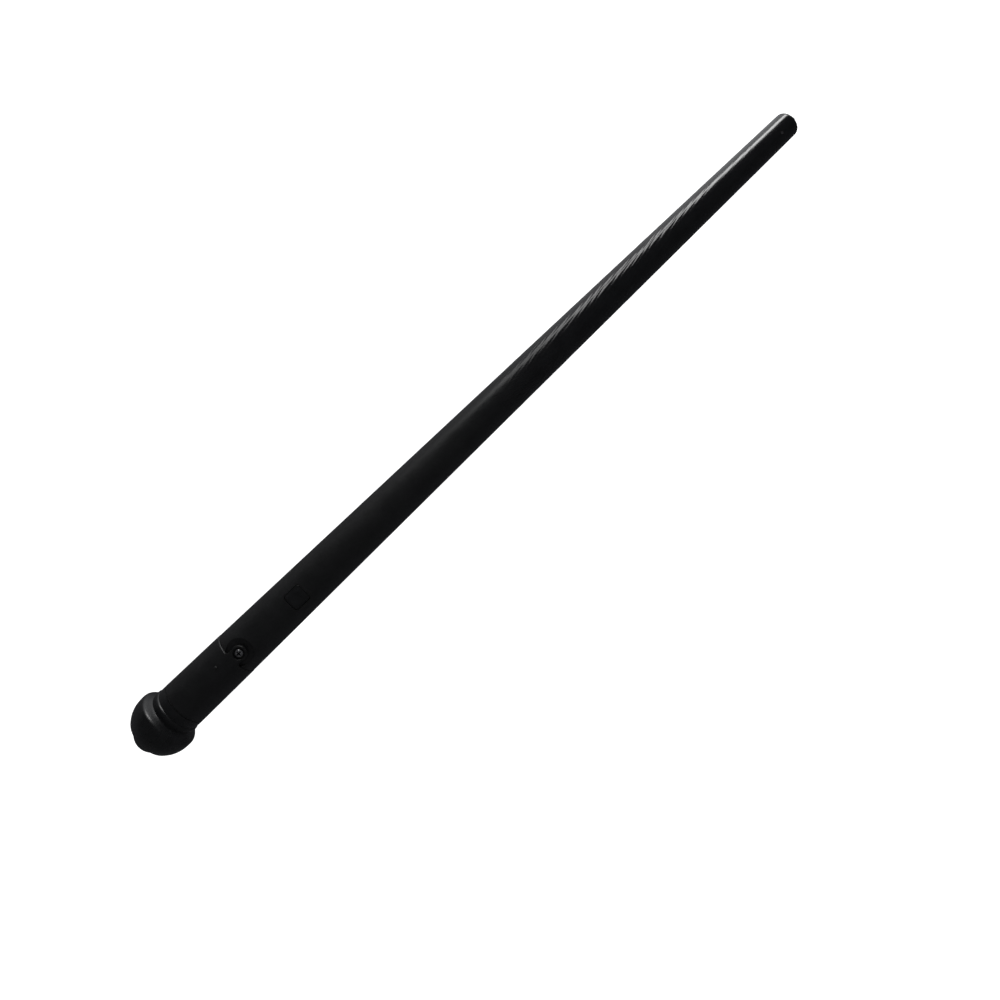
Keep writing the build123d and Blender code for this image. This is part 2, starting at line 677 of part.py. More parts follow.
# -------------------------------------------------------------- board cradle
CRADLE_R = 6.68
with BuildPart() as board_cradle:
    with BuildSketch(Plane.YZ.offset(BOARD_X0)):
        Circle(CRADLE_R)
        with Locations((0, 5 - BOARD_T - 0.02)):
            Rectangle(20, 10, mode=Mode.SUBTRACT)
        Circle(5.4, mode=Mode.SUBTRACT)
        for side in (-1, 1):
            with Locations((side * 5.35, -BOARD_T - 0.02 - 0.6)):
                Rectangle(1.6, 1.2)
    extrude(amount=BORE_STEP_X - 0.05 - BOARD_X0)
    # screw posts and end webs
    for x in SCREWS_X:
        with BuildSketch(Plane.XY.offset(-BOARD_T - 0.02)):
            with Locations((x, 0)):
                Rectangle(4.2, 10.0)
        extrude(amount=-6.0)
    with BuildSketch(Plane.YZ.offset(BOARD_X0 - 1)):
        Circle(CRADLE_R + 3)
        Circle(CRADLE_R, mode=Mode.SUBTRACT)
    extrude(amount=60, mode=Mode.SUBTRACT)
    with BuildSketch(Plane.XY.offset(-BOARD_T)):
        with Locations(*[(x, 0) for x in SCREWS_X]):
            Circle(0.82)
    extrude(amount=-4.0, mode=Mode.SUBTRACT)
write(board_cradle, "board_cradle")

# ---------------------------------------- spring contacts at the board's rear
FINGER_W = 2.4
for name, side in (("negative_contact", 1), ("positive_contact", -1)):
    with BuildPart() as contact_finger:
        with BuildSketch(Plane.XZ.offset(-side * 3.6 - FINGER_W / 2)):
            with BuildLine():
                Polyline(
                    (BOARD_X0 + 3.0, 0.02),
                    (BOARD_X0 + 3.0, 0.24),
                    (BOARD_X0 - 2.4, 0.24),
                    (BOARD_X0 - 4.62, 1.5),
                    (BOARD_X0 - 4.85, 1.3),
                    (BOARD_X0 - 4.85, 0.4),
                    (BOARD_X0 - 4.45, -0.6),
                    (BOARD_X0 - 4.25, -0.52),
                    (BOARD_X0 - 4.62, 0.4),
                    (BOARD_X0 - 4.62, 1.12),
                    (BOARD_X0 - 2.45, 0.02),
                    close=True,
                )
            make_face()
        extrude(amount=FINGER_W)
    write(contact_finger, name)

# -------------------------------------------------------------- lamp (LED)
lamp_base = LAMP_X - LAMP_H
with BuildPart() as lamp:
    with BuildSketch(Plane.XZ):
        with BuildLine():
            Polyline(
                (LAMP_X - LAMP_R, LAMP_R),
                (lamp_base + LAMP_FLANGE_T, LAMP_R),
                (lamp_base + LAMP_FLANGE_T, LAMP_FLANGE_R),
                (lamp_base, LAMP_FLANGE_R),
                (lamp_base, 0),
                (LAMP_X, 0),
            )
            ThreePointArc(
                (LAMP_X, 0),
                (
                    LAMP_X - LAMP_R * (1 - math.cos(math.radians(45))),
                    LAMP_R * math.sin(math.radians(45)),
                ),
                (LAMP_X - LAMP_R, LAMP_R),
            )
        make_face()
    revolve(axis=Axis.X)
write(lamp, "lamp")

with BuildPart() as lamp_leads:
    for y in (-LEAD_PITCH / 2, LEAD_PITCH / 2):
        with BuildSketch(Plane.YZ.offset(LEAD_END_X)):
            with Locations((y, 0)):
                Rectangle(LEAD_SQ, LEAD_SQ)
        extrude(amount=lamp_base - 0.02 - LEAD_END_X)
write(lamp_leads, "lamp_leads")

with BuildPart() as lamp_holder:
    with BuildSketch(Plane.YZ.offset(HOLDER_X0)):
        Circle(NARROW_R1 - 0.04)
        with Locations((-LEAD_PITCH / 2, 0), (LEAD_PITCH / 2, 0)):
            Circle(0.45, mode=Mode.SUBTRACT)
    extrude(amount=lamp_base - 0.04 - HOLDER_X0)
    with BuildSketch(peg_plane.offset(2.6)):
        Circle(PEG_R)
    extrude(amount=surface_r(PEG_X) + 0.28 - 2.6)
    fillet(
        lamp_holder.edges()
        .filter_by(GeomType.CIRCLE)
        .sort_by(lambda e: (e.center() - peg_plane.location.position).length)[-1],
        radius=0.45,
    )
write(lamp_holder, "lamp_holder")

with BuildPart() as lead_sleeves:
    for y in (-LEAD_PITCH / 2, LEAD_PITCH / 2):
        with BuildSketch(Plane.YZ.offset(LEAD_END_X - 4.0)):
            with Locations((y, 0)):
                Circle(0.95)
                Circle(0.66, mode=Mode.SUBTRACT)
        extrude(amount=10.0)
write(lead_sleeves, "lead_sleeves")

# ------------------------------------- wires from the board to the lamp leads
for name, side in (("lamp_wire_positive", -1), ("lamp_wire_negative", 1)):
    y = side * WIRE_Y
    x_pad = BOARD_X1 - 1.6
    route = [
        (x_pad, y, WIRE_R + 0.02),
        (x_pad + 16, y, WIRE_R + 0.02),
        (x_pad + 46, y + side * 0.9, -0.9),
        (x_pad + 96, y + side * 0.5, 1.0),
        (x_pad + 146, y + side * 0.6, -0.6),
        (x_pad + 190, y, 0.0),
        (LEAD_END_X - 0.02, y, 0.0),
    ]
    radii = [160.0] * 5
    with BuildPart() as lamp_wire:
        with BuildLine():
            wire_path = FilletPolyline(*route, radius=radii)
        with BuildSketch(Plane(origin=wire_path @ 0, z_dir=wire_path % 0)):
            Circle(WIRE_R)
        sweep(path=wire_path)
    print(
        name,
        "length",
        round(wire_path.length, 2),
        "volume/section",
        round(lamp_wire.part.volume / (math.pi * WIRE_R**2), 2),
        "radii",
        radii,
    )
    write(lamp_wire, name)

print(len(written), "nodes:", written)
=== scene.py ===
"""Looks of the battery-lit toy wand: fine meshes, procedural materials, plain
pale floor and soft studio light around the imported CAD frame.

The CAD frame is in metres here; the numbers below are millimetres (MM scales
them).  +X runs from the pommel to the tip, +Z out of the thumb button.
"""

import math

import bmesh
import bpy
import numpy as np
from mathutils import Matrix, Vector


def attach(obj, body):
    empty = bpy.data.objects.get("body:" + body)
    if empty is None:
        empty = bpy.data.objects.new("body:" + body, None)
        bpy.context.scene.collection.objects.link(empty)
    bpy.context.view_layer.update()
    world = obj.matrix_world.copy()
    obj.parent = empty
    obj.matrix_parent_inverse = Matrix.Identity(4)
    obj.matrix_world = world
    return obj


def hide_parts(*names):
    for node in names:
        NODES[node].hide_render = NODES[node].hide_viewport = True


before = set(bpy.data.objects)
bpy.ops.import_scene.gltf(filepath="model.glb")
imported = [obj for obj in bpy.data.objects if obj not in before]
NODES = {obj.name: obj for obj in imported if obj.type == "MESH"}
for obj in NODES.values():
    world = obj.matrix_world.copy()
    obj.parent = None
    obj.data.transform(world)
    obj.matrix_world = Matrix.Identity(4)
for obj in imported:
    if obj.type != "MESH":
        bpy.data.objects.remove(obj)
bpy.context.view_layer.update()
MM = 0.001

# ------------------------------------------------------------------ dimensions
END_X, LAMP_X, TIP_X = -175.4, 175.4, 173.1
SEAT_X, SEAM_X, SCREW_X, BUTTON_X = -151.3, -123.25, -119.75, -89.6
R_BACK, R_TIP, TIP_EDGE_R = 9.80, 4.98, 1.7
SLOPE = (R_TIP - R_BACK) / (TIP_X - SEAT_X)


def surface_r(x):
    return R_BACK + SLOPE * (x - SEAT_X)


SPIGOT_R, SPIGOT_BACK_X, SPIGOT_FLAT_Z = 8.1, -143.1, 7.55
BORE_R, BORE_STEP_X, NARROW_R0, NARROW_R1 = 6.75, -65.6, 6.2, 3.15
LAMP_SEAT_X = 150.4
SLOT_W, PAD_Z = 2.4, 5.6
POCKET_R, POCKET_X, POCKET_Z = 5.45, SCREW_X + 0.45, 7.6
TONGUE_W, TONGUE_END_R, TONGUE_Z, FLARE = 5.6, 3.05, 7.65, 0.72
CBORE_R, CBORE_Z = 2.3, 8.2
SLEEVE_BORE_R, SLEEVE_LIP, LIP_ROUND, SHOULDER = 8.15, 0.11, 0.60, 0.55
DOT_X, DOT_Y, DOT_R = -129.6, 2.1, 0.68
HEAD_R, HEAD_H, NECK_R, THREAD_R = 1.6, 1.0, 0.8, 1.0
THREAD_TOP_Z, THREAD_END_Z = 5.95, 1.6
BTN_LX, BTN_LY, BTN_CORNER, BTN_GAP = 7.4, 7.2, 0.9, 0.12
BTN_FLANGE_Z0, BTN_FLANGE_Z1, BTN_FLANGE_LX, BTN_FLANGE_LY = 4.40, 5.05, 9.2, 8.4
LAMP_R, LAMP_FLANGE_R, LAMP_FLANGE_T, LAMP_H = 2.5, 2.9, 1.0, 8.7
PEG_X, PEG_ANGLE, PEG_R = 165.2, 7.0, 0.55
BALL_X, BALL_R, BALL_END_X = -161.5, 12.85, -170.2
CAP_R, CAP_RISE, PLUG_R, PLUG_X1 = 7.35, 4.69, 8.12, -144.2
CART_R, CART_X0 = 6.70, -157.1


# ---------------------------------------------------------------- mesh helpers
def mesh_object(name, verts, faces):
    """Object at the origin from points in millimetres."""
    me = bpy.data.meshes.new(name)
    me.from_pydata((np.asarray(verts, float) * MM).tolist(), [], faces)
    me.update()
    ob = bpy.data.objects.new(name, me)
    bpy.context.scene.collection.objects.link(ob)
    return ob


def tidy(ob, angle=32, merge=1e-7):
    """Merge doubles, outward normals, smooth with sharp edges over the angle."""
    bm = bmesh.new()
    bm.from_mesh(ob.data)
    if merge:
        bmesh.ops.remove_doubles(bm, verts=bm.verts, dist=merge)
    bmesh.ops.recalc_face_normals(bm, faces=bm.faces)
    bm.to_mesh(ob.data)
    bm.free()
    ob.data.shade_smooth()
    ob.data.set_sharp_from_angle(angle=math.radians(angle))
    ob.data.update()
    return ob


def arc(cx, cr, r, a0, a1, n=6):
    """Points on an arc in the (x, r) plane, degrees from +x."""
    return [
        (
            cx + r * math.cos(math.radians(a0 + (a1 - a0) * i / n)),
            cr + r * math.sin(math.radians(a0 + (a1 - a0) * i / n)),
        )
        for i in range(n + 1)
    ]


def catmull(points, n=8):
    """Smooth curve through points in the (x, r) plane."""
    p = [np.array(q, float) for q in points]
    p = [2 * p[0] - p[1]] + p + [2 * p[-1] - p[-2]]
    out = []
    for i in range(1, len(p) - 2):
        for k in range(n):
            t = k / n
            out.append(
                tuple(
                    0.5
                    * (
                        2 * p[i]
                        + (p[i + 1] - p[i - 1]) * t
                        + (2 * p[i - 1] - 5 * p[i] + 4 * p[i + 1] - p[i + 2]) * t**2
                        + (3 * p[i] - p[i - 1] - 3 * p[i + 1] + p[i + 2]) * t**3
                    )
                )
            )
    out.append(tuple(p[-2]))
    return out


def line_points(x0, r0, x1, r1, step):
    n = max(1, int(math.ceil(math.hypot(x1 - x0, r1 - r0) / step)))
    return [(x0 + (x1 - x0) * i / n, r0 + (r1 - r0) * i / n) for i in range(n + 1)]


def clean(profile):
    out = []
    for q in profile:
        if not out or math.hypot(q[0] - out[-1][0], q[1] - out[-1][1]) > 1e-4:
            out.append(q)
    return out


def revolve(name, profile, segs=192, closed=True, axis="X", centre=(0, 0, 0), radial=None):
    """Body of revolution.  profile: (along, radius) points; closed joins the
    last point to the first, otherwise the ends lie on the axis.  radial, if
    given, returns a change of radius for arrays (along, angle, radius)."""
    prof = clean(profile)
    if closed and math.hypot(prof[0][0] - prof[-1][0], prof[0][1] - prof[-1][1]) < 1e-4:
        prof = prof[:-1]
    a = np.array([q[0] for q in prof], float)
    r = np.array([q[1] for q in prof], float)
    th = np.arange(segs) * 2 * math.pi / segs
    A, T = np.meshgrid(a, th, indexing="ij")
    R = np.repeat(r[:, None], segs, 1)
    if radial is not None:
        R = R + radial(A, T, R)
    if axis == "X":
        P = np.stack([A, R * np.sin(T), R * np.cos(T)], 2)
    else:
        P = np.stack([R * np.cos(T), R * np.sin(T), A], 2)
    P = P + np.array(centre, float)
    n = len(prof)
    verts = P.reshape(-1, 3)
    faces = []
    last = n if closed else n - 1
    idx = np.arange(segs)
    nxt = (idx + 1) % segs
    for i in range(last):
        j = (i + 1) % n
        faces += np.stack(
            [i * segs + idx, i * segs + nxt, j * segs + nxt, j * segs + idx], 1
        ).tolist()
    return mesh_object(name, verts, faces)


def rounded_rect(lx, ly, corner, n=64, cx=0.0, cy=0.0):
    """n points round a rounded rectangle, evenly spaced from the +x side."""
    hx, hy = lx / 2 - corner, ly / 2 - corner
    pts = []
    per = 4 * (hx + hy) + 2 * math.pi * corner
    segs = [
        ("l", (lx / 2, -hy), (lx / 2, hy)),
        ("a", (hx, hy), 0),
        ("l", (hx, ly / 2), (-hx, ly / 2)),
        ("a", (-hx, hy), 90),
        ("l", (-lx / 2, hy), (-lx / 2, -hy)),
        ("a", (-hx, -hy), 180),
        ("l", (-hx, -ly / 2), (hx, -ly / 2)),
        ("a", (hx, -hy), 270),
    ]
    lengths = [2 * hy, math.pi / 2 * corner, 2 * hx, math.pi / 2 * corner] * 2
    for k in range(n):
        s = (k / n) * per
        for (kind, p, q), length in zip(segs, lengths):
            if s <= length or (kind, p) == (segs[-1][0], segs[-1][1]):
                f = min(1.0, s / length) if length > 1e-9 else 0.0
                if kind == "l":
                    pts.append((cx + p[0] + (q[0] - p[0]) * f, cy + p[1] + (q[1] - p[1]) * f))
                else:
                    ang = math.radians(q + 90 * f)
                    pts.append((cx + p[0] + corner * math.cos(ang), cy + p[1] + corner * math.sin(ang)))
                break
            s -= length
    return pts


def loft(name, rings, cap_first=True, cap_last=True):
    """Closed skin through rings that have the same number of points."""
    n = len(rings[0])
    verts = [p for ring in rings for p in ring]
    faces = []
    for i in range(len(rings) - 1):
        for k in range(n):
            m = (k + 1) % n
            faces.append([i * n + k, i * n + m, (i + 1) * n + m, (i + 1) * n + k])
    if cap_first:
        faces.append(list(range(n))[::-1])
    if cap_last:
        faces.append([(len(rings) - 1) * n + k for k in range(n)])
    return mesh_object(name, verts, faces)


def prism(name, outline, z0, z1):
    return loft(name, [[(x, y, z0) for x, y in outline], [(x, y, z1) for x, y in outline]])


def box(name, x0, x1, y0, y1, z0, z1):
    return prism(name, [(x0, y0), (x1, y0), (x1, y1), (x0, y1)], z0, z1)


def boolean(ob, cutter, operation="DIFFERENCE"):
    """Apply an exact boolean and drop the tool mesh."""
    tidy(cutter)
    bm = bmesh.new()
    bm.from_mesh(ob.data)
    bmesh.ops.recalc_face_normals(bm, faces=bm.faces)
    bm.to_mesh(ob.data)
    bm.free()
    mod = ob.modifiers.new("cut", "BOOLEAN")
    mod.operation, mod.object, mod.solver = operation, cutter, "EXACT"
    bpy.context.view_layer.update()
    dg = bpy.context.evaluated_depsgraph_get()
    done = bpy.data.meshes.new_from_object(ob.evaluated_get(dg))
    ob.modifiers.clear()
    old = ob.data
    ob.data = done
    done.name = old.name
    bpy.data.meshes.remove(old)
    bpy.data.objects.remove(cutter)
    return ob


def join(name, *obs):
    """One mesh from several; tidy() welds them afterwards where their rings meet."""
    bm = bmesh.new()
    for o in obs:
        bm.from_mesh(o.data)
    me = bpy.data.meshes.new(name)
    bm.to_mesh(me)
    bm.free()
    for o in obs:
        bpy.data.objects.remove(o)
    ob = bpy.data.objects.new(name, me)
    bpy.context.scene.collection.objects.link(ob)
    return ob


def drop_faces(ob, test):
    bm = bmesh.new()
    bm.from_mesh(ob.data)
    gone = [f for f in bm.faces if test(f)]
    bmesh.ops.delete(bm, geom=gone, context="FACES_ONLY")
    bm.to_mesh(ob.data)
    bm.free()


def soften_edges(ob, test, width, segments=3, min_angle=40):
    """Bevel the sharp edges that test() picks, for the real rounded arris."""
    bm = bmesh.new()
    bm.from_mesh(ob.data)
    bmesh.ops.remove_doubles(bm, verts=bm.verts, dist=2e-6)
    edges = [
        e
        for e in bm.edges
        if e.is_manifold
        and e.calc_face_angle(0.0) > math.radians(min_angle)
        and test((e.verts[0].co + e.verts[1].co) / 2 / MM)
    ]
    bmesh.ops.bevel(
        bm,
        geom=edges,
        offset=width * MM,
        offset_type="OFFSET",
        segments=segments,
        profile=0.5,
        affect="EDGES",
        clamp_overlap=True,
    )
    bm.to_mesh(ob.data)
    bm.free()
    return ob


def smoothstep(a, b, x):
    t = np.clip((x - a) / (b - a), 0, 1)
    return t * t * (3 - 2 * t)


def lattice(i, j, seed):
    """Repeatable random number in 0..1 for integer arrays."""
    h = (i.astype(np.int64) * 374761393 + j.astype(np.int64) * 668265263 + seed * 2147483647)
    h = (h ^ (h >> 13)) * 1274126177
    h = h ^ (h >> 16)
    return (h & 0xFFFFFF) / float(0xFFFFFF)


def value_noise(u, v, period, seed):
    """Smooth noise in -1..1, periodic in v."""
    i0, j0 = np.floor(u), np.floor(v)
    fu, fv = u - i0, v - j0
    fu, fv = fu * fu * (3 - 2 * fu), fv * fv * (3 - 2 * fv)
    j0m, j1m = np.mod(j0, period), np.mod(j0 + 1, period)
    a = lattice(i0, j0m, seed) * (1 - fu) + lattice(i0 + 1, j0m, seed) * fu
    b = lattice(i0, j1m, seed) * (1 - fu) + lattice(i0 + 1, j1m, seed) * fu
    return 2 * (a * (1 - fv) + b * fv) - 1


# ------------------------------------------------------------------- materials
def material(name):
    m = bpy.data.materials.new(name)
    m.use_nodes = True
    nt = m.node_tree
    for n in list(nt.nodes):
        nt.nodes.remove(n)
    out = nt.nodes.new("ShaderNodeOutputMaterial")
    bsdf = nt.nodes.new("ShaderNodeBsdfPrincipled")
    nt.links.new(bsdf.outputs[0], out.inputs[0])
    return m, nt, bsdf


def node(nt, kind, **props):
    n = nt.nodes.new(kind)
    for k, v in props.items():
        if k.startswith("in_"):
            n.inputs[k[3:].replace("_", " ")].default_value = v
        else:
            setattr(n, k, v)
    return n


def object_coords(nt, stretch=(1, 1, 1), twist=0.0):
    """Object coordinates in millimetres, turned about X by twist radians per
    millimetre and then scaled."""
    tc = nt.nodes.new("ShaderNodeTexCoord")
    mm = node(nt, "ShaderNodeVectorMath", operation="SCALE")
    mm.inputs["Scale"].default_value = 1000.0
    nt.links.new(tc.outputs["Object"], mm.inputs[0])
    last = mm.outputs[0]
    if twist:
        sep = nt.nodes.new("ShaderNodeSeparateXYZ")
        nt.links.new(last, sep.inputs[0])
        ang = node(nt, "ShaderNodeMath", operation="MULTIPLY")
        ang.inputs[1].default_value = twist
        nt.links.new(sep.outputs[0], ang.inputs[0])
        rot = node(nt, "ShaderNodeVectorRotate", rotation_type="X_AXIS")
        nt.links.new(last, rot.inputs["Vector"])
        nt.links.new(ang.outputs[0], rot.inputs["Angle"])
        last = rot.outputs[0]
    if stretch != (1, 1, 1):
        sc = node(nt, "ShaderNodeVectorMath", operation="MULTIPLY")
        sc.inputs[1].default_value = stretch
        nt.links.new(last, sc.inputs[0])
        last = sc.outputs[0]
    return last


def noise(nt, coords, scale, detail=3.0, rough=0.55, distortion=0.0):
    n = nt.nodes.new("ShaderNodeTexNoise")
    n.inputs["Scale"].default_value = scale
    n.inputs["Detail"].default_value = detail
    n.inputs["Roughness"].default_value = rough
    n.inputs["Distortion"].default_value = distortion
    nt.links.new(coords, n.inputs["Vector"])
    return n.outputs["Fac"]


def remap(nt, value, a, b, c, d, smooth=False):
    n = nt.nodes.new("ShaderNodeMapRange")
    n.interpolation_type = "SMOOTHSTEP" if smooth else "LINEAR"
    n.clamp = True
    for key, v in zip(("From Min", "From Max", "To Min", "To Max"), (a, b, c, d)):
        n.inputs[key].default_value = v
    nt.links.new(value, n.inputs["Value"])
    return n.outputs["Result"]


def math_node(nt, op, a, b):
    n = node(nt, "ShaderNodeMath", operation=op)
    for i, v in enumerate((a, b)):
        if isinstance(v, (int, float)):
            n.inputs[i].default_value = v
        else:
            nt.links.new(v, n.inputs[i])
    return n.outputs[0]


def mix_colour(nt, fac, a, b, mode="MIX"):
    n = nt.nodes.new("ShaderNodeMix")
    n.data_type = "RGBA"
    n.blend_type = mode
    if isinstance(fac, (int, float)):
        n.inputs[0].default_value = fac
    else:
        nt.links.new(fac, n.inputs[0])
    for i, v in ((6, a), (7, b)):
        if isinstance(v, tuple):
            n.inputs[i].default_value = (*v, 1.0)
        else:
            nt.links.new(v, n.inputs[i])
    return n.outputs[2]


def bump(nt, height, strength, distance_mm, normal=None):
    n = nt.nodes.new("ShaderNodeBump")
    n.inputs["Strength"].default_value = strength
    n.inputs["Distance"].default_value = distance_mm * MM
    nt.links.new(height, n.inputs["Height"])
    if normal is not None:
        nt.links.new(normal, n.inputs["Normal"])
    return n.outputs[0]


def edge_wear(nt, low=0.52, high=0.62):
    """Where the surface is convex, as worn edges are."""
    g = nt.nodes.new("ShaderNodeNewGeometry")
    return remap(nt, g.outputs["Pointiness"], low, high, 0.0, 1.0, True)


def black_plastic(name, dark=(0.0021, 0.0022, 0.0025), light=(0.0042, 0.0044, 0.0050),
                  rough=(0.30, 0.40), grain=0.25, grain_twist=0.0, tip_rough=None, peel=0.12,
                  wear=(0.016, 0.0165, 0.018), wear_share=0.35):
    """Injection-moulded black plastic: mottled colour, mould grain, orange
    peel, fine scuffs and slightly polished, paler edges."""
    m, nt, bsdf = material(name)
    plain = object_coords(nt)
    along = object_coords(nt, (0.07, 1.0, 1.0), grain_twist)
    cloud = noise(nt, plain, 0.16, 4.0, 0.6)
    mottle = noise(nt, plain, 0.9, 3.0, 0.6)
    scuff = noise(nt, along, 1.9, 5.0, 0.65, 0.4)
    tone = math_node(nt, "MULTIPLY", cloud, 0.55)
    tone = math_node(nt, "ADD", tone, math_node(nt, "MULTIPLY", mottle, 0.45))
    colour = mix_colour(nt, remap(nt, tone, 0.36, 0.64, 0, 1), dark, light)
    edge = math_node(nt, "MULTIPLY", edge_wear(nt), wear_share)
    edge = math_node(nt, "MULTIPLY", edge, remap(nt, mottle, 0.35, 0.6, 0.25, 1.0))
    colour = mix_colour(nt, edge, colour, wear)
    nt.links.new(colour, bsdf.inputs["Base Color"])
    r = remap(nt, math_node(nt, "ADD", math_node(nt, "MULTIPLY", scuff, 0.6),
                            math_node(nt, "MULTIPLY", cloud, 0.4)), 0.35, 0.65, rough[0], rough[1])
    if tip_rough is not None:
        sep = nt.nodes.new("ShaderNodeSeparateXYZ")
        nt.links.new(plain, sep.inputs[0])
        far = remap(nt, sep.outputs[0], -40.0, 70.0, 0.0, 1.0, True)
        glossy = remap(nt, scuff, 0.35, 0.65, tip_rough[0], tip_rough[1])
        mx = nt.nodes.new("ShaderNodeMix")
        nt.links.new(far, mx.inputs[0])
        nt.links.new(r, mx.inputs[2])
        nt.links.new(glossy, mx.inputs[3])
        r = mx.outputs[0]
    nt.links.new(r, bsdf.inputs["Roughness"])
    fine = noise(nt, plain, 6.0, 2.0, 0.5)
    nrm = bump(nt, scuff, grain, 0.05)
    nrm = bump(nt, mottle, peel, 0.06, nrm)
    nrm = bump(nt, fine, 0.12, 0.012, nrm)
    nt.links.new(nrm, bsdf.inputs["Normal"])
    bsdf.inputs["IOR"].default_value = 1.5
    return m


def metal(name, base, dirt, rough=(0.22, 0.42), brush=(1, 1, 1), scale=5.0, metallic=1.0,
          mottle=0.8, relief=0.0, recess=None):
    """Plated or bare metal: brushed direction, tarnish and bright edges; with recess given, painted shade darkens a
    drive recess.
    """
    m, nt, bsdf = material(name)
    plain = object_coords(nt)
    brushed = object_coords(nt, brush)
    lines = noise(nt, brushed, scale, 4.0, 0.6)
    cloud = noise(nt, plain, mottle, 4.0, 0.6)
    colour = mix_colour(nt, remap(nt, cloud, 0.4, 0.68, 0, 0.7), base, dirt)
    colour = mix_colour(nt, math_node(nt, "MULTIPLY", edge_wear(nt), 0.5), colour,
                        tuple(min(1.0, c * 1.15) for c in base))
    if recess:
        # painted shade darkening the drive recess: axis at x, radius, depth level z
        sep = nt.nodes.new("ShaderNodeSeparateXYZ")
        nt.links.new(plain, sep.inputs[0])
        dx = math_node(nt, "SUBTRACT", sep.outputs[0], recess[0])
        r2 = math_node(nt, "ADD", math_node(nt, "MULTIPLY", dx, dx),
                       math_node(nt, "MULTIPLY", sep.outputs[1], sep.outputs[1]))
        inner = remap(nt, r2, recess[1] ** 2, (recess[1] + 0.1) ** 2, 1.0, 0.0)
        deep = remap(nt, sep.outputs[2], recess[2] - 0.10, recess[2], 1.0, 0.0)
        high = remap(nt, sep.outputs[2], 8.2, 8.3, 0.0, 1.0)
        painted_recess_shade = math_node(nt, "MULTIPLY", math_node(nt, "MULTIPLY", inner, deep), high)
        # painted shade: the colour goes near black inside the drive recess
        colour = mix_colour(nt, painted_recess_shade, colour, (0.012, 0.012, 0.012))
    nt.links.new(colour, bsdf.inputs["Base Color"])
    bsdf.inputs["Metallic"].default_value = metallic
    nt.links.new(remap(nt, lines, 0.35, 0.65, *rough), bsdf.inputs["Roughness"])
    nrm = bump(nt, lines, 0.2, 0.02)
    if relief:
        # struck and chewed by screwdrivers
        nrm = bump(nt, cloud, relief, 0.12, nrm)
    nt.links.new(nrm, bsdf.inputs["Normal"])
    return m


def plastic(name, dark, light, rough=(0.35, 0.5), scale=1.2, grain=0.12, subsurface=0.0):
    """Plain moulded plastic for inner parts, with mould texture."""
    m, nt, bsdf = material(name)
    plain = object_coords(nt)
    cloud = noise(nt, plain, scale * 0.35, 4.0, 0.6)
    fine = noise(nt, plain, scale * 5, 3.0, 0.55)
    colour = mix_colour(nt, remap(nt, cloud, 0.35, 0.65, 0, 1), dark, light)
    colour = mix_colour(nt, math_node(nt, "MULTIPLY", edge_wear(nt), 0.3), colour,
                        tuple(min(1.0, c * 1.6 + 0.01) for c in light))
    nt.links.new(colour, bsdf.inputs["Base Color"])
    nt.links.new(remap(nt, fine, 0.35, 0.65, *rough), bsdf.inputs["Roughness"])
    nt.links.new(bump(nt, fine, grain, 0.03), bsdf.inputs["Normal"])
    if subsurface:
        bsdf.inputs["Subsurface Weight"].default_value = subsurface
        bsdf.inputs["Subsurface Radius"].default_value = (0.001, 0.0008, 0.0006)
    return m


def board_material():
    """Brown paper-phenolic board with a green mask side and faint weave."""
    m, nt, bsdf = material("board_phenolic")
    plain = object_coords(nt)
    fibre = noise(nt, object_coords(nt, (0.25, 3.0, 1.0)), 2.2, 4.0, 0.6)
    cloud = noise(nt, plain, 0.5, 3.0, 0.6)
    brown = mix_colour(nt, remap(nt, fibre, 0.35, 0.65, 0, 1), (0.19, 0.085, 0.028), (0.33, 0.17, 0.065))
    # solder-masked copper tracks on the top face
    w = nt.nodes.new("ShaderNodeTexWave")
    w.wave_type, w.bands_direction = "BANDS", "Y"
    w.inputs["Scale"].default_value = 0.115
    w.inputs["Distortion"].default_value = 1.2
    w.inputs["Detail"].default_value = 0.0
    w.inputs["Detail Scale"].default_value = 0.2
    nt.links.new(plain, w.inputs["Vector"])
    track = remap(nt, w.outputs["Fac"], 0.45, 0.52, 0, 1, True)
    mask = mix_colour(nt, track, (0.008, 0.062, 0.026), (0.018, 0.12, 0.048))
    g = nt.nodes.new("ShaderNodeNewGeometry")
    sep = nt.nodes.new("ShaderNodeSeparateXYZ")
    nt.links.new(g.outputs["Normal"], sep.inputs[0])
    up = remap(nt, sep.outputs[2], 0.5, 0.8, 0, 1)
    colour = mix_colour(nt, up, brown, mask)
    colour = mix_colour(nt, remap(nt, cloud, 0.45, 0.7, 0, 0.35), colour, (0.01, 0.012, 0.01))
    nt.links.new(colour, bsdf.inputs["Base Color"])
    nt.links.new(remap(nt, fibre, 0.3, 0.7, 0.28, 0.5), bsdf.inputs["Roughness"])
    nt.links.new(bump(nt, track, 0.4, 0.03), bsdf.inputs["Normal"])
    return m


def lamp_material():
    """Faintly diffused clear epoxy."""
    m, nt, bsdf = material("lamp_epoxy")
    plain = object_coords(nt)
    cloud = noise(nt, plain, 0.9, 3.0, 0.6)
    fine = noise(nt, plain, 7.0, 2.0, 0.5)
    colour = mix_colour(nt, remap(nt, cloud, 0.35, 0.65, 0, 1), (0.80, 0.83, 0.84), (0.93, 0.94, 0.93))
    nt.links.new(colour, bsdf.inputs["Base Color"])
    nt.links.new(remap(nt, fine, 0.3, 0.7, 0.14, 0.26), bsdf.inputs["Roughness"])
    bsdf.inputs["IOR"].default_value = 1.52
    bsdf.inputs["Transmission Weight"].default_value = 0.45
    bsdf.inputs["Subsurface Weight"].default_value = 0.35
    bsdf.inputs["Subsurface Radius"].default_value = (0.002, 0.002, 0.002)
    nt.links.new(bump(nt, fine, 0.08, 0.01), bsdf.inputs["Normal"])
    return m


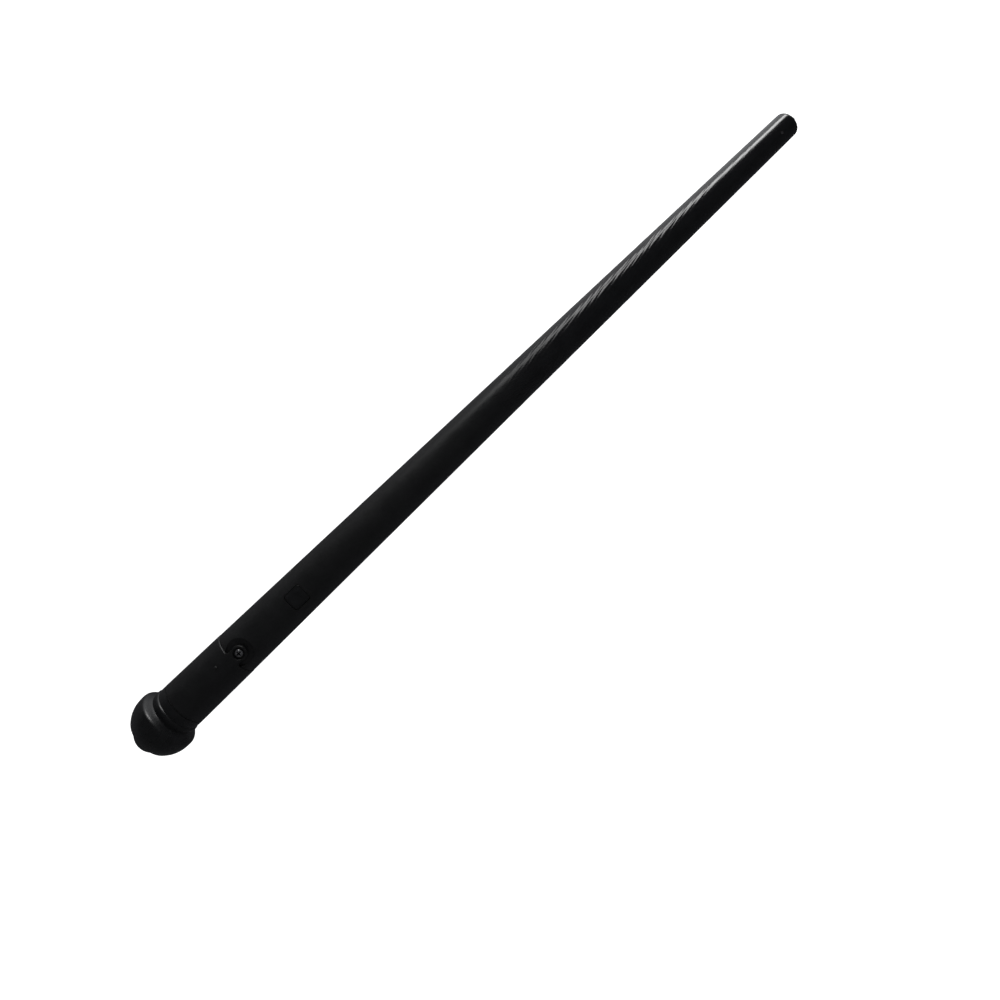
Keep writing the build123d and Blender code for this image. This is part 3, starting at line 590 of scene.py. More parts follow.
MAT = {
    "black_shaft": black_plastic("shaft_plastic", rough=(0.40, 0.52), tip_rough=(0.14, 0.23),
                                 grain=0.28, grain_twist=-0.0433),
    "black_handle": black_plastic("handle_plastic", rough=(0.38, 0.50), grain=0.22),
    "black_pommel": black_plastic("pommel_plastic", rough=(0.24, 0.36), grain=0.22, peel=0.25),
    "black_cap": black_plastic("cap_plastic", rough=(0.30, 0.42), grain=0.15, peel=0.15),
    "black_button": black_plastic("button_plastic", rough=(0.26, 0.36), grain=0.12),
    # the screw's cross recess gets painted shade in its colour
    "steel_screw": metal("screw_steel", (0.62, 0.62, 0.63), (0.10, 0.10, 0.095), (0.20, 0.36), mottle=2.6, relief=0.9, recess=(SCREW_X, 1.2, 9.14)),
    "contact_metal": metal("contact_nickel", (0.66, 0.64, 0.60), (0.44, 0.41, 0.36), (0.25, 0.42), (0.15, 1.5, 1.5), 4.0),
    "spring_metal": metal("spring_wire_nickel", (0.62, 0.61, 0.59), (0.40, 0.38, 0.35), (0.20, 0.36)),
    "cell_steel": metal("cell_can_steel", (0.70, 0.69, 0.67), (0.52, 0.50, 0.47), (0.16, 0.30), (1.5, 0.3, 0.3), 6.0),
    "pin_metal": metal("tinned_pins", (0.72, 0.72, 0.71), (0.50, 0.50, 0.49), (0.24, 0.42)),
    "cover_steel": metal("switch_cover_steel", (0.60, 0.60, 0.60), (0.42, 0.42, 0.41), (0.24, 0.38), (3.0, 0.4, 1.0), 4.0),
    "cradle_screw": metal("cradle_screw_zinc", (0.58, 0.57, 0.54), (0.40, 0.38, 0.34), (0.26, 0.42)),
    "inner_plastic": plastic("cartridge_plastic", (0.011, 0.011, 0.012), (0.021, 0.021, 0.023), (0.36, 0.52)),
    "cradle_plastic": plastic("cradle_plastic_black", (0.014, 0.014, 0.015), (0.026, 0.026, 0.028), (0.40, 0.56)),
    "switch_plastic": plastic("switch_plastic_black", (0.012, 0.012, 0.013), (0.020, 0.020, 0.021), (0.30, 0.44)),
    "plunger_plastic": plastic("plunger_plastic_black", (0.010, 0.010, 0.011), (0.018, 0.018, 0.019), (0.28, 0.42)),
    "board": board_material(),
    "board_part": plastic("resistor_ceramic", (0.010, 0.010, 0.011), (0.035, 0.035, 0.038), (0.25, 0.40), 2.0),
    "lamp_clear": lamp_material(),
    "lamp_holder_plastic": plastic("lamp_holder_black", (0.010, 0.0102, 0.011), (0.020, 0.020, 0.021), (0.16, 0.26)),
    "sleeving": plastic("heat_shrink_black", (0.010, 0.010, 0.010), (0.022, 0.022, 0.022), (0.42, 0.60), 1.5),
    "wire_red": plastic("wire_pvc_red", (0.36, 0.012, 0.010), (0.52, 0.025, 0.018), (0.34, 0.46), 1.0),
    "wire_black": plastic("wire_pvc_black", (0.012, 0.012, 0.012), (0.024, 0.024, 0.024), (0.34, 0.46), 1.0),
}


def finish_piece(ob, mat, slot, body, *stands_for):
    ob.data.materials.clear()
    ob.data.materials.append(MAT[mat])
    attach(ob, body)
    if stands_for:
        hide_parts(*stands_for)
    return ob


# --------------------------------------------------------------- shaft (moulded)
SEGS = 240
JOIN_A, JOIN_B = -40.0, 158.0
LOBES, HELIX = 28, 0.172


def bore_r(x):
    return NARROW_R0 + (NARROW_R1 - NARROW_R0) * (x - BORE_STEP_X) / (LAMP_SEAT_X - BORE_STEP_X)


def carved_grain(A, T, R):
    """Shallow oblique strokes of the carved-wood finish on the front half."""
    outer = np.abs(R - surface_r(A)) < 0.02
    phase = LOBES * T / (2 * math.pi) - HELIX * A
    warp = 0.55 * value_noise(A / 13.0 + 3.1, phase / 3.0, LOBES / 3, 11)
    warp += 0.16 * value_noise(A / 4.0 + 9.1, phase / 1.5, LOBES / 1.5, 12)
    p = phase + warp
    lobe = np.floor(p)
    f = p - lobe
    wrapped = np.mod(lobe, LOBES)
    strength = 0.62 + 0.38 * value_noise(A / 6.0 + 17.0 * wrapped, wrapped * 0.0, 1, 23)
    level = 0.5 * value_noise(A / 7.0 + 31.0 * wrapped, wrapped * 0.0, 1, 29)
    # convex strokes that meet in narrow valleys
    bell = np.abs(np.sin(math.pi * f))
    stroke = bell ** 0.95 - 0.62
    long_wave = 0.5 * value_noise(A / 5.0, p / 1.0 + 0.5, LOBES, 37)
    fade = smoothstep(8, 44, A) * (1 - 0.80 * smoothstep(106, 140, A)) * (1 - smoothstep(150, 157, A))
    return np.where(outer, fade * (0.122 * stroke * strength + 0.030 * level * bell + 0.022 * long_wave), 0.0)


def make_shaft():
    # rear: spigot, shoulder and the part with the openings
    prof = [(SPIGOT_BACK_X, BORE_R + 0.15), (SPIGOT_BACK_X, SPIGOT_R - 0.4)]
    prof += [(SPIGOT_BACK_X + 0.4, SPIGOT_R)]
    prof += line_points(SPIGOT_BACK_X + 0.4, SPIGOT_R, SEAM_X - 0.1, SPIGOT_R, 1.6)
    prof += arc(SEAM_X - 0.1, SPIGOT_R + 0.1, 0.1, -90, 0, 3)
    rs = surface_r(SEAM_X)
    prof += arc(SEAM_X + SHOULDER, rs - SHOULDER, SHOULDER, 180, 90, 7)
    prof += line_points(SEAM_X + SHOULDER, rs, JOIN_A, surface_r(JOIN_A), 1.2)[1:]
    prof += [(JOIN_A, bore_r(JOIN_A))]
    prof += line_points(JOIN_A, bore_r(JOIN_A), BORE_STEP_X, NARROW_R0, 3.0)
    prof += [(BORE_STEP_X, BORE_R)]
    prof += line_points(BORE_STEP_X, BORE_R, SPIGOT_BACK_X + 0.15, BORE_R, 2.4)
    rear = revolve("shaft_rear", prof, SEGS)
    # clamping pad inside the wall, then the cuts
    boolean(rear, box("pad", SCREW_X - 4.1, SCREW_X + 3.3, -3.5, 3.5, PAD_Z, 7.0), "UNION")
    boolean(rear, box("flat", SPIGOT_BACK_X - 2, SEAM_X - 0.003, -6, 6, SPIGOT_FLAT_Z, 11))
    pocket = [(SEAM_X - 0.01, -math.sqrt(POCKET_R**2 - (SEAM_X - POCKET_X) ** 2))]
    a0 = math.degrees(math.atan2(pocket[0][1], SEAM_X - POCKET_X))
    pocket = [
        (POCKET_X + POCKET_R * math.cos(math.radians(a)), POCKET_R * math.sin(math.radians(a)))
        for a in np.linspace(a0, -a0, 73)
    ]
    pocket[0] = (SEAM_X - 0.01, pocket[0][1])
    pocket[-1] = (SEAM_X - 0.01, pocket[-1][1])
    boolean(rear, prism("pocket", pocket, POCKET_Z, 12))
    slot = [(SPIGOT_BACK_X - 2, -SLOT_W / 2)]
    slot += [
        (SCREW_X + SLOT_W / 2 * math.cos(math.radians(a)), SLOT_W / 2 * math.sin(math.radians(a)))
        for a in np.linspace(-90, 90, 25)
    ]
    slot += [(SPIGOT_BACK_X - 2, SLOT_W / 2)]
    boolean(rear, prism("slot", slot, PAD_Z - 1, PAD_Z + 5))
    opening = rounded_rect(BTN_LX + 2 * BTN_GAP, BTN_LY + 2 * BTN_GAP, BTN_CORNER + BTN_GAP, 96, BUTTON_X, 0)
    boolean(rear, prism("opening", opening, 2.0, 10.0))
    boolean(
        rear,
        box("relief", BUTTON_X - BTN_FLANGE_LX / 2 - 0.25, BUTTON_X + BTN_FLANGE_LX / 2 + 0.25,
            -BTN_FLANGE_LY / 2 - 0.25, BTN_FLANGE_LY / 2 + 0.25, 3.0, BTN_FLANGE_Z1 + 0.05),
    )

    def rim(c):
        r = math.hypot(c.y, c.z)
        if c.z < 4 or abs(r - surface_r(c.x)) > 0.03:
            return False
        return (abs(c.x - BUTTON_X) < 5) or (SEAM_X + SHOULDER + 0.1 < c.x < SCREW_X + 6)

    soften_edges(rear, rim, 0.17, 3)
    drop_faces(rear, lambda f: all(abs(v.co.x / MM - JOIN_A) < 1e-3 for v in f.verts))
    # middle: the carved grain, finely meshed
    xs = np.concatenate([np.arange(JOIN_A, 10, 2.5), np.arange(10, 157.9, 0.36), [JOIN_B]])
    prof = [(x, surface_r(x)) for x in xs] + [(x, bore_r(min(x, LAMP_SEAT_X))) for x in (JOIN_B, 150, 110, 60, 10, JOIN_A)]
    middle = revolve("shaft_middle", prof, SEGS, radial=carved_grain)
    drop_faces(
        middle,
        lambda f: all(abs(v.co.x / MM - JOIN_A) < 1e-3 for v in f.verts)
        or all(abs(v.co.x / MM - JOIN_B) < 1e-3 for v in f.verts),
    )
    # front: rounded tip, lamp hole and the snap-peg hole
    xe = TIP_X - TIP_EDGE_R
    re = surface_r(xe)
    prof = line_points(JOIN_B, surface_r(JOIN_B), xe, re, 0.8)
    prof += arc(xe, re - TIP_EDGE_R, TIP_EDGE_R, 90, 0, 18)
    prof += arc(TIP_X - 0.12, LAMP_R + 0.05 + 0.12, 0.12, 0, -90, 3)
    step_x = LAMP_X - LAMP_H + LAMP_FLANGE_T + 0.02
    prof += [(step_x, LAMP_R + 0.05), (step_x, NARROW_R1), (JOIN_B, NARROW_R1)]
    front = revolve("shaft_front", prof, SEGS)
    peg = revolve("peg_hole", [(2.0, PEG_R + 0.06), (8.0, PEG_R + 0.06)], 32, closed=False, axis="Z")
    bm = bmesh.new()
    bm.from_mesh(peg.data)
    bmesh.ops.holes_fill(bm, edges=bm.edges, sides=0)
    bm.to_mesh(peg.data)
    bm.free()
    peg.data.transform(
        Matrix.Translation((PEG_X * MM, 0, 0)) @ Matrix.Rotation(math.radians(PEG_ANGLE), 4, "X")
    )
    boolean(front, peg)
    drop_faces(front, lambda f: all(abs(v.co.x / MM - JOIN_B) < 1e-3 for v in f.verts))
    shaft = join("wand_shaft", rear, middle, front)
    return tidy(shaft, 34, 3e-6)


shaft = finish_piece(make_shaft(), "black_shaft", "black_shaft", "wand", "shaft_tube")


# ---------------------------------------------------------------- handle sleeve
def make_sleeve():
    rs, rf = surface_r(SEAT_X), surface_r(SEAM_X) + SLEEVE_LIP
    prof = [(SEAT_X, SLEEVE_BORE_R + 0.1)]
    prof += arc(SEAT_X + 0.45, rs - 0.45, 0.45, 180, 90, 7)
    prof += line_points(SEAT_X + 0.45, rs, SEAM_X - 0.03 - LIP_ROUND, rf, 1.0)[1:]
    prof += arc(SEAM_X - 0.03 - LIP_ROUND, rf - LIP_ROUND, LIP_ROUND, 90, 0, 8)
    prof += [(SEAM_X - 0.03, SLEEVE_BORE_R + 0.12), (SEAM_X - 0.15, SLEEVE_BORE_R)]
    prof += line_points(SEAM_X - 0.15, SLEEVE_BORE_R, SEAT_X + 0.1, SLEEVE_BORE_R, 3.0)[1:]
    sleeve = revolve("sleeve", prof, SEGS)
    # tongue: a lug with a round end about the screw, its top on the wand's round
    n = 144
    outline = []
    for k in range(n):
        a = 2 * math.pi * k / n
        c, s = math.cos(a), math.sin(a)
        if c >= 0:
            w = TONGUE_END_R
            # width runs from the lug's flank to the round end
            outline.append((SCREW_X + w * c, w * s))
        else:
            # rear part: a rectangle that reaches into the sleeve
            back, half = SCREW_X - (SEAM_X - 1.2), TONGUE_W / 2
            t = min(back / abs(c) if abs(c) > 1e-6 else 1e9, half / abs(s) if abs(s) > 1e-6 else 1e9)
            t = t if t * abs(c) <= back + 1e-9 else back / abs(c)
            outline.append((SCREW_X + t * c, t * s))
    # follow the flank and its flare into the sleeve's lip: walk out along each ray
    walked = []
    for x, y in outline:
        dx, dy = x - SCREW_X, y
        l = math.hypot(dx, dy)
        dx, dy = dx / l, dy / l
        if dx >= 0:
            lo = TONGUE_END_R
        else:
            lo, hi = 1.0, 9.0
            for _ in range(40):
                mid = (lo + hi) / 2
                px, py = SCREW_X + dx * mid, dy * mid
                inside = px > SEAM_X - 1.2 and abs(py) < half_w(px)
                lo, hi = (mid, hi) if inside else (lo, mid)
        walked.append((SCREW_X + dx * lo, dy * lo))
    outline = walked

    def top(x, y, drop=0.0):
        return math.sqrt((surface_r(x) + SLEEVE_LIP - 0.004) ** 2 - y * y) - drop

    def inset(d):
        """Outline pulled in by d towards the screw's axis."""
        out = []
        for x, y in outline:
            l = math.hypot(x - SCREW_X, y)
            out.append((SCREW_X + (x - SCREW_X) * (l - d) / l, y * (l - d) / l))
        return out

    e = 0.26
    rings = [[(x, y, TONGUE_Z) for x, y in outline]]
    rings.append([(x, y, TONGUE_Z + 0.6) for x, y in outline])
    for k in range(6):
        a = math.radians(90 * k / 5)
        ring = inset(e * (1 - math.cos(a)))
        rings.append([(x, y, top(x, y, e * (1 - math.sin(a)))) for x, y in ring])
    for share in (0.5,):
        ring = [
            (x * (1 - share) + share * (SCREW_X + 2.55 * math.cos(2 * math.pi * k / n)),
             y * (1 - share) + share * 2.55 * math.sin(2 * math.pi * k / n))
            for k, (x, y) in enumerate(inset(e))
        ]
        rings.append([(x, y, top(x, y)) for x, y in ring])
    c = 0.14
    for k in range(5):
        a = math.radians(90 * k / 4)
        rr = CBORE_R + c * (1 - math.sin(a))
        ring = [(SCREW_X + rr * math.cos(2 * math.pi * i / n), rr * math.sin(2 * math.pi * i / n)) for i in range(n)]
        rings.append([(x, y, top(x, y, c * (1 - math.cos(a)))) for x, y in ring])
    for rr, z in ((CBORE_R, CBORE_Z), (NECK_R + 0.1, CBORE_Z), (NECK_R + 0.1, TONGUE_Z)):
        rings.append([
            (SCREW_X + rr * math.cos(2 * math.pi * i / n), rr * math.sin(2 * math.pi * i / n), z) for i in range(n)
        ])
    rings.append(rings[0])
    tongue = loft("tongue", rings[:-1], False, False)
    # close the underside between the hole and the outline
    bm = bmesh.new()
    bm.from_mesh(tongue.data)
    bm.verts.ensure_lookup_table()
    last = (len(rings) - 2) * n
    for k in range(n):
        m = (k + 1) % n
        bm.faces.new([bm.verts[last + k], bm.verts[last + m], bm.verts[m], bm.verts[k]])
    bm.to_mesh(tongue.data)
    bm.free()
    boolean(sleeve, tongue, "UNION")
    # small moulded dot
    da = math.asin(DOT_Y / surface_r(DOT_X))
    prof2 = [(-0.5, 0.0), (-0.5, DOT_R)]
    prof2 += [(0.46 * math.sin(math.radians(a)), DOT_R * math.cos(math.radians(a))) for a in range(0, 91, 9)]
    prof2[-1] = (0.46, 0.0)
    dot = revolve("dot", prof2, 32, closed=False, axis="Z")
    tidy(dot)
    dot.data.transform(
        Matrix.Translation((DOT_X * MM, (surface_r(DOT_X)) * math.sin(da) * MM, surface_r(DOT_X) * math.cos(da) * MM))
        @ Matrix.Rotation(-da, 4, "X")
    )
    boolean(sleeve, dot, "UNION")
    return tidy(sleeve, 34, 2e-6)


def half_w(x):
    """Half width of the tongue at x: flare, flank, round end."""
    if x < SEAM_X - 0.03:
        return TONGUE_W / 2 + FLARE
    if x < SEAM_X - 0.03 + FLARE:
        u = FLARE - (x - SEAM_X + 0.03)
        return TONGUE_W / 2 + FLARE - math.sqrt(FLARE**2 - u * u)
    if x <= SCREW_X - math.sqrt(TONGUE_END_R**2 - (TONGUE_W / 2) ** 2):
        return TONGUE_W / 2
    return math.sqrt(max(0.0, TONGUE_END_R**2 - (x - SCREW_X) ** 2))


sleeve = finish_piece(make_sleeve(), "black_handle", "black_handle", "tail", "handle_sleeve")


# ------------------------------------------------------------------------ screw
def make_screw():
    z0 = CBORE_Z + 0.02
    prof = [(THREAD_END_Z, 0.0), (THREAD_END_Z, 0.3), (THREAD_END_Z + 0.15, 0.42)]
    n = 72
    for k in range(n + 1):
        z = THREAD_END_Z + 0.2 + (THREAD_TOP_Z - 0.1 - THREAD_END_Z - 0.2) * k / n
        core = min(0.74, 0.45 + 0.29 * (z - THREAD_END_Z - 0.2) / 1.0)
        prof.append((z, core))
    prof += [(THREAD_TOP_Z + 0.1, NECK_R), (z0 - 0.05, NECK_R), (z0, NECK_R + 0.05)]
    prof += [(z0, HEAD_R - 0.06), (z0 + 0.06, HEAD_R), (z0 + HEAD_H * 0.35, HEAD_R)]
    prof += [
        (z0 + HEAD_H * (0.35 + 0.65 * math.sin(math.radians(a))), HEAD_R * (0.50 + 0.50 * math.cos(math.radians(a))))
        for a in (12, 24, 36, 48, 60, 72, 82, 90)
    ]
    prof += [(z0 + HEAD_H, 0.0)]

    def thread(A, T, R):
        inside = (A > THREAD_END_Z + 0.19) & (A < THREAD_TOP_Z - 0.09) & (R < 0.75)
        f = np.mod((A - THREAD_END_Z) / 0.8 - T / (2 * math.pi), 1.0)
        ridge = np.clip(1 - np.abs(f - 0.5) * 3.4, 0, 1)
        grow = np.clip((A - THREAD_END_Z - 0.2) / 0.9, 0.15, 1)
        return np.where(inside, (THREAD_R - 0.74) * ridge * grow, 0.0)

    screw = revolve("captive_screw", prof, 64, closed=False, axis="Z", radial=thread)
    tidy(screw, 40)
    # cross recess
    w, l = 0.27, 1.14
    cross = [(l, -w), (l, w), (w, w), (w, l), (-w, l), (-w, w), (-l, w), (-l, -w), (-w, -w), (-w, -l), (w, -l), (w, -w)]
    top = [(x, y, z0 + HEAD_H + 0.1) for x, y in cross]
    low = [(x * 0.66, y * 0.66 if abs(y) > 0.3 else y * 0.8, z0 + HEAD_H - 0.70) for x, y in cross]
    boolean(screw, loft("cross", [low, top]))
    screw.data.transform(Matrix.Translation((SCREW_X * MM, 0, 0)))
    return tidy(screw, 38)


screw = finish_piece(make_screw(), "steel_screw", "steel_screw", "screw", "sleeve_screw")


# --------------------------------------------------------- pommel and its dome
def make_pommel():
    ball_rear_r = math.sqrt(BALL_R**2 - (BALL_END_X + 0.55 - BALL_X) ** 2)
    a_rear = math.degrees(math.atan2(ball_rear_r, BALL_END_X + 0.55 - BALL_X))
    prof = [(BALL_END_X, 5.05), (BALL_END_X, ball_rear_r - 0.95)]
    prof += catmull([(BALL_END_X, ball_rear_r - 0.95), (BALL_END_X + 0.16, ball_rear_r - 0.42),
                     (BALL_END_X + 0.55, ball_rear_r)], 3)
    # the rear quarter is a touch fuller than a sphere
    for k in range(45):
        a = math.radians(a_rear + (90 - a_rear) * k / 44)
        rr = BALL_R + 0.1 * math.sin(math.pi * k / 44) ** 2
        prof.append((BALL_X + rr * math.cos(a), rr * math.sin(a)))
    # rounded lip of the ball, then a ring with a steep front and a plain collar
    prof += catmull([(BALL_X, BALL_R), (BALL_X + 0.70, 12.83), (BALL_X + 1.20, 12.76), (BALL_X + 1.60, 12.58),
                     (BALL_X + 1.95, 12.30), (BALL_X + 2.25, 11.92), (BALL_X + 2.55, 11.42), (BALL_X + 2.80, 10.96),
                     (BALL_X + 3.05, 10.50), (BALL_X + 3.28, 10.13), (BALL_X + 3.50, 9.80)], 5)
    prof += catmull([(BALL_X + 3.50, 9.80), (BALL_X + 4.00, 9.84), (BALL_X + 4.50, 9.92), (BALL_X + 5.10, 10.05),
                     (BALL_X + 5.70, 10.12), (BALL_X + 6.02, 10.08), (BALL_X + 6.25, 9.98), (BALL_X + 6.45, 9.82),
                     (BALL_X + 6.60, 9.62)], 5)
    prof += catmull([(BALL_X + 6.60, 9.62), (BALL_X + 7.0, 9.69), (BALL_X + 7.4, 9.74), (BALL_X + 8.4, 9.80),
                     (BALL_X + 9.2, 9.80)], 5)
    prof += [(SEAT_X - 0.08, 9.80)]
    prof += arc(SEAT_X - 0.08, 9.74, 0.06, 90, 0, 2)
    prof += [(SEAT_X - 0.02, PLUG_R), (PLUG_X1 - 0.3, PLUG_R), (PLUG_X1, PLUG_R - 0.3), (PLUG_X1, CART_R + 0.15),
             (CART_X0 - 0.02, CART_R + 0.15), (CART_X0 - 0.02, 5.05)]
    return tidy(revolve("pommel_ball", prof, SEGS), 34)


def make_cap():
    sphere = ((CAP_R - 0.1) ** 2 + CAP_RISE**2) / (2 * CAP_RISE)
    a1 = math.degrees(math.asin((CAP_R - 0.32) / sphere))
    prof = [(END_X + sphere * (1 - math.cos(math.radians(a))), sphere * math.sin(math.radians(a)))
            for a in np.linspace(0, a1, 28)]
    prof += [(END_X + CAP_RISE - 0.10, CAP_R - 0.19), (END_X + CAP_RISE + 0.00, CAP_R - 0.15),
             (END_X + CAP_RISE + 0.07, CAP_R - 0.20), (BALL_END_X - 0.05, CAP_R - 0.37), (BALL_END_X - 0.02, CAP_R - 0.4)]
    prof += [(BALL_END_X - 0.02, 5.0), (BALL_END_X + 6.8, 5.0), (BALL_END_X + 7.0, 4.8), (BALL_END_X + 7.0, 3.8),
             (BALL_END_X + 0.4, 3.8), (BALL_END_X + 0.4, 0.0)]
    return tidy(revolve("pommel_dome", prof, 160, closed=False), 34)


pommel = finish_piece(make_pommel(), "black_pommel", "black_pommel", "tail", "pommel")
cap = finish_piece(make_cap(), "black_cap", "black_pommel", "tail", "pommel_end_cap")


# ----------------------------------------------------------------- thumb button
def make_button():
    n = 96

    def top(x, y):
        z = math.sqrt((surface_r(x) - 0.05) ** 2 - y * y)
        rho = math.hypot(x - BUTTON_X, y)
        dish_z = surface_r(BUTTON_X) - 0.55
        dish_r = (3.1**2 + 0.6**2) / 1.2
        if rho < 3.3:
            zd = dish_z + dish_r - math.sqrt(dish_r**2 - rho**2)
            d = z - zd
            # soft minimum, so that the dish runs out without a crease
            z = z - (d + math.sqrt(d * d + 0.02)) / 2 + 0.0 if d > -0.6 else z
        return z

    def ring(lx, ly, corner, z=None, drop=0.0):
        return [(x, y, (top(x, y) - drop) if z is None else z)
                for x, y in rounded_rect(lx, ly, corner, n, BUTTON_X, 0)]

    e = 0.3
    rings = [ring(BTN_LX - 2.2, BTN_LY - 2.2, 0.8, BTN_FLANGE_Z0 + 2.2),
             ring(BTN_LX - 2.2, BTN_LY - 2.2, 0.8, BTN_FLANGE_Z0),
             ring(BTN_FLANGE_LX - 0.1, BTN_FLANGE_LY - 0.1, 1.45, BTN_FLANGE_Z0),
             ring(BTN_FLANGE_LX, BTN_FLANGE_LY, 1.5, BTN_FLANGE_Z0 + 0.05),
             ring(BTN_FLANGE_LX, BTN_FLANGE_LY, 1.5, BTN_FLANGE_Z1),
             ring(BTN_LX, BTN_LY, BTN_CORNER, BTN_FLANGE_Z1),
             ring(BTN_LX, BTN_LY, BTN_CORNER, 6.6)]
    for k in range(7):
        a = math.radians(90 * k / 6)
        d = e * (1 - math.cos(a))
        rings.append(ring(BTN_LX - 2 * d, BTN_LY - 2 * d, BTN_CORNER - d, None, e * (1 - math.sin(a))))
    for s in np.linspace(0.88, 0.06, 24):
        rings.append(ring((BTN_LX - 2 * e) * s, (BTN_LY - 2 * e) * s, (BTN_CORNER - e) * s + 0.4 * s * (1 - s)))
    return tidy(loft("thumb_key", rings), 40)


button = finish_piece(make_button(), "black_button", "black_button", "button", "thumb_button")


# --------------------------------------------------------------- lamp at the tip
def make_lamp():
    base = LAMP_X - LAMP_H
    prof = [(base, 0.0), (base, LAMP_FLANGE_R - 0.1), (base + 0.1, LAMP_FLANGE_R),
            (base + LAMP_FLANGE_T - 0.1, LAMP_FLANGE_R), (base + LAMP_FLANGE_T, LAMP_FLANGE_R - 0.1),
            (base + LAMP_FLANGE_T, LAMP_R + 0.05), (base + LAMP_FLANGE_T + 0.05, LAMP_R)]
    prof += [(LAMP_X - LAMP_R, LAMP_R)]
    prof += [(LAMP_X - LAMP_R * (1 - math.sin(math.radians(a))), LAMP_R * math.cos(math.radians(a)))
             for a in np.linspace(6, 90, 18)]
    return tidy(revolve("lamp_body", prof, 96, closed=False), 36)


lamp = finish_piece(make_lamp(), "lamp_clear", "lamp_clear", "wand", "lamp")

# ------------------------------------------------------- inner parts stay as CAD
LOOK = {
    "pommel_end_cap": "black_cap", "battery_cartridge": "inner_plastic",
    "negative_strip": "contact_metal", "positive_strip": "contact_metal", "cell_spring": "spring_metal",
    "button_cell_1": "cell_steel", "button_cell_2": "cell_steel", "button_cell_3": "cell_steel",
    "switch_plunger": "plunger_plastic", "switch_body": "switch_plastic", "switch_cover": "cover_steel",
    "switch_pins": "pin_metal", "circuit_board": "board", "resistor": "board_part",
    "board_screws": "cradle_screw", "board_cradle": "cradle_plastic", "negative_contact": "contact_metal",
    "positive_contact": "contact_metal", "lamp_leads": "pin_metal", "lamp_holder": "lamp_holder_plastic",
    "lead_sleeves": "sleeving", "lamp_wire_positive": "wire_red", "lamp_wire_negative": "wire_black",
    "shaft_tube": "black_shaft", "handle_sleeve": "black_handle", "sleeve_screw": "steel_screw",
    "pommel": "black_pommel", "thumb_button": "black_button", "lamp": "lamp_clear",
}
for name, ob in NODES.items():
    ob.data.materials.clear()
    ob.data.materials.append(MAT[LOOK[name]])
    for p in ob.data.polygons:
        p.material_index = 0

# --------------------------------------------------------------- floor and light
TILT = 5.9                        # of the view from straight above, towards +Y
V = Vector((0, math.sin(math.radians(TILT)), math.cos(math.radians(TILT))))
N = Vector((0, -math.cos(math.radians(TILT)), math.sin(math.radians(TILT))))
D = Vector((1, 0, 0))


def stage_plane(name, corners):
    me = bpy.data.meshes.new(name)
    me.from_pydata([tuple(Vector(c) * MM) for c in corners], [], [list(range(len(corners)))])
    me.update()
    ob = bpy.data.objects.new(name, me)
    bpy.context.scene.collection.objects.link(ob)
    return ob


def floor_z(x):
    return -12.80 + (7.82 / 332.9) * (x + 161.5)


S = 4000
floor = stage_plane("floor", [(-S, -S, floor_z(-S)), (S, -S, floor_z(S)), (S, S, floor_z(S)), (-S, S, floor_z(-S))])
m = bpy.data.materials.new("floor_pale")
m.use_nodes = True
nt = m.node_tree
for n_ in list(nt.nodes):
    nt.nodes.remove(n_)
out = nt.nodes.new("ShaderNodeOutputMaterial")
diff = nt.nodes.new("ShaderNodeBsdfDiffuse")
diff.inputs[0].default_value = (0.8, 0.8, 0.8, 1)
emis = nt.nodes.new("ShaderNodeEmission")
emis.inputs[1].default_value = 0.93
add = nt.nodes.new("ShaderNodeAddShader")
tr = nt.nodes.new("ShaderNodeBsdfTransparent")
mixs = nt.nodes.new("ShaderNodeMixShader")
geo = nt.nodes.new("ShaderNodeNewGeometry")
nt.links.new(diff.outputs[0], add.inputs[0])
nt.links.new(emis.outputs[0], add.inputs[1])
nt.links.new(geo.outputs["Backfacing"], mixs.inputs[0])
nt.links.new(add.outputs[0], mixs.inputs[1])
nt.links.new(tr.outputs[0], mixs.inputs[2])
nt.links.new(mixs.outputs[0], out.inputs[0])
floor.data.materials.append(m)
floor.visible_glossy = False
floor.visible_shadow = False

# long soft light low beyond the upper edge of the frame, brighter to the tip end
KEY_Y, KEY_X0, KEY_X1, KEY_Z0, KEY_Z1, KEY_POWER = 490, 20, 780, 24, 288, 12.0
key = stage_plane("key_light", [(KEY_X0, KEY_Y, KEY_Z0), (KEY_X1, KEY_Y, KEY_Z0), (KEY_X1, KEY_Y, KEY_Z1), (KEY_X0, KEY_Y, KEY_Z1)])
m = bpy.data.materials.new("key_light_cloth")
m.use_nodes = True
nt = m.node_tree
for n_ in list(nt.nodes):
    nt.nodes.remove(n_)
out = nt.nodes.new("ShaderNodeOutputMaterial")
emis = nt.nodes.new("ShaderNodeEmission")
co = object_coords(nt)
sep = nt.nodes.new("ShaderNodeSeparateXYZ")
nt.links.new(co, sep.inputs[0])
ramp = nt.nodes.new("ShaderNodeValToRGB")
for x, v in ((60, 0.07), (125, 0.18), (170, 0.29), (225, 0.47), (300, 0.52), (350, 0.62), (400, 0.85), (450, 1.0)):
    e_ = ramp.color_ramp.elements.new((x - KEY_X0) / (KEY_X1 - KEY_X0))
    e_.color = (v, v, v, 1)
ramp.color_ramp.elements[0].color = (0, 0, 0, 1)
ramp.color_ramp.elements[-1].color = (0.95, 0.95, 0.95, 1)
nt.links.new(remap(nt, sep.outputs[0], KEY_X0, KEY_X1, 0.0, 1.0), ramp.inputs[0])
ramp_x = ramp.outputs[0]
ramp_z = remap(nt, sep.outputs[2], KEY_Z1 - 135, KEY_Z1, 1.0, 0.0, True)
nt.links.new(math_node(nt, "MULTIPLY", math_node(nt, "MULTIPLY", ramp_x, ramp_z), KEY_POWER), emis.inputs[1])
nt.links.new(emis.outputs[0], out.inputs[0])
key.data.materials.append(m)
key.visible_camera = False
key.visible_shadow = False

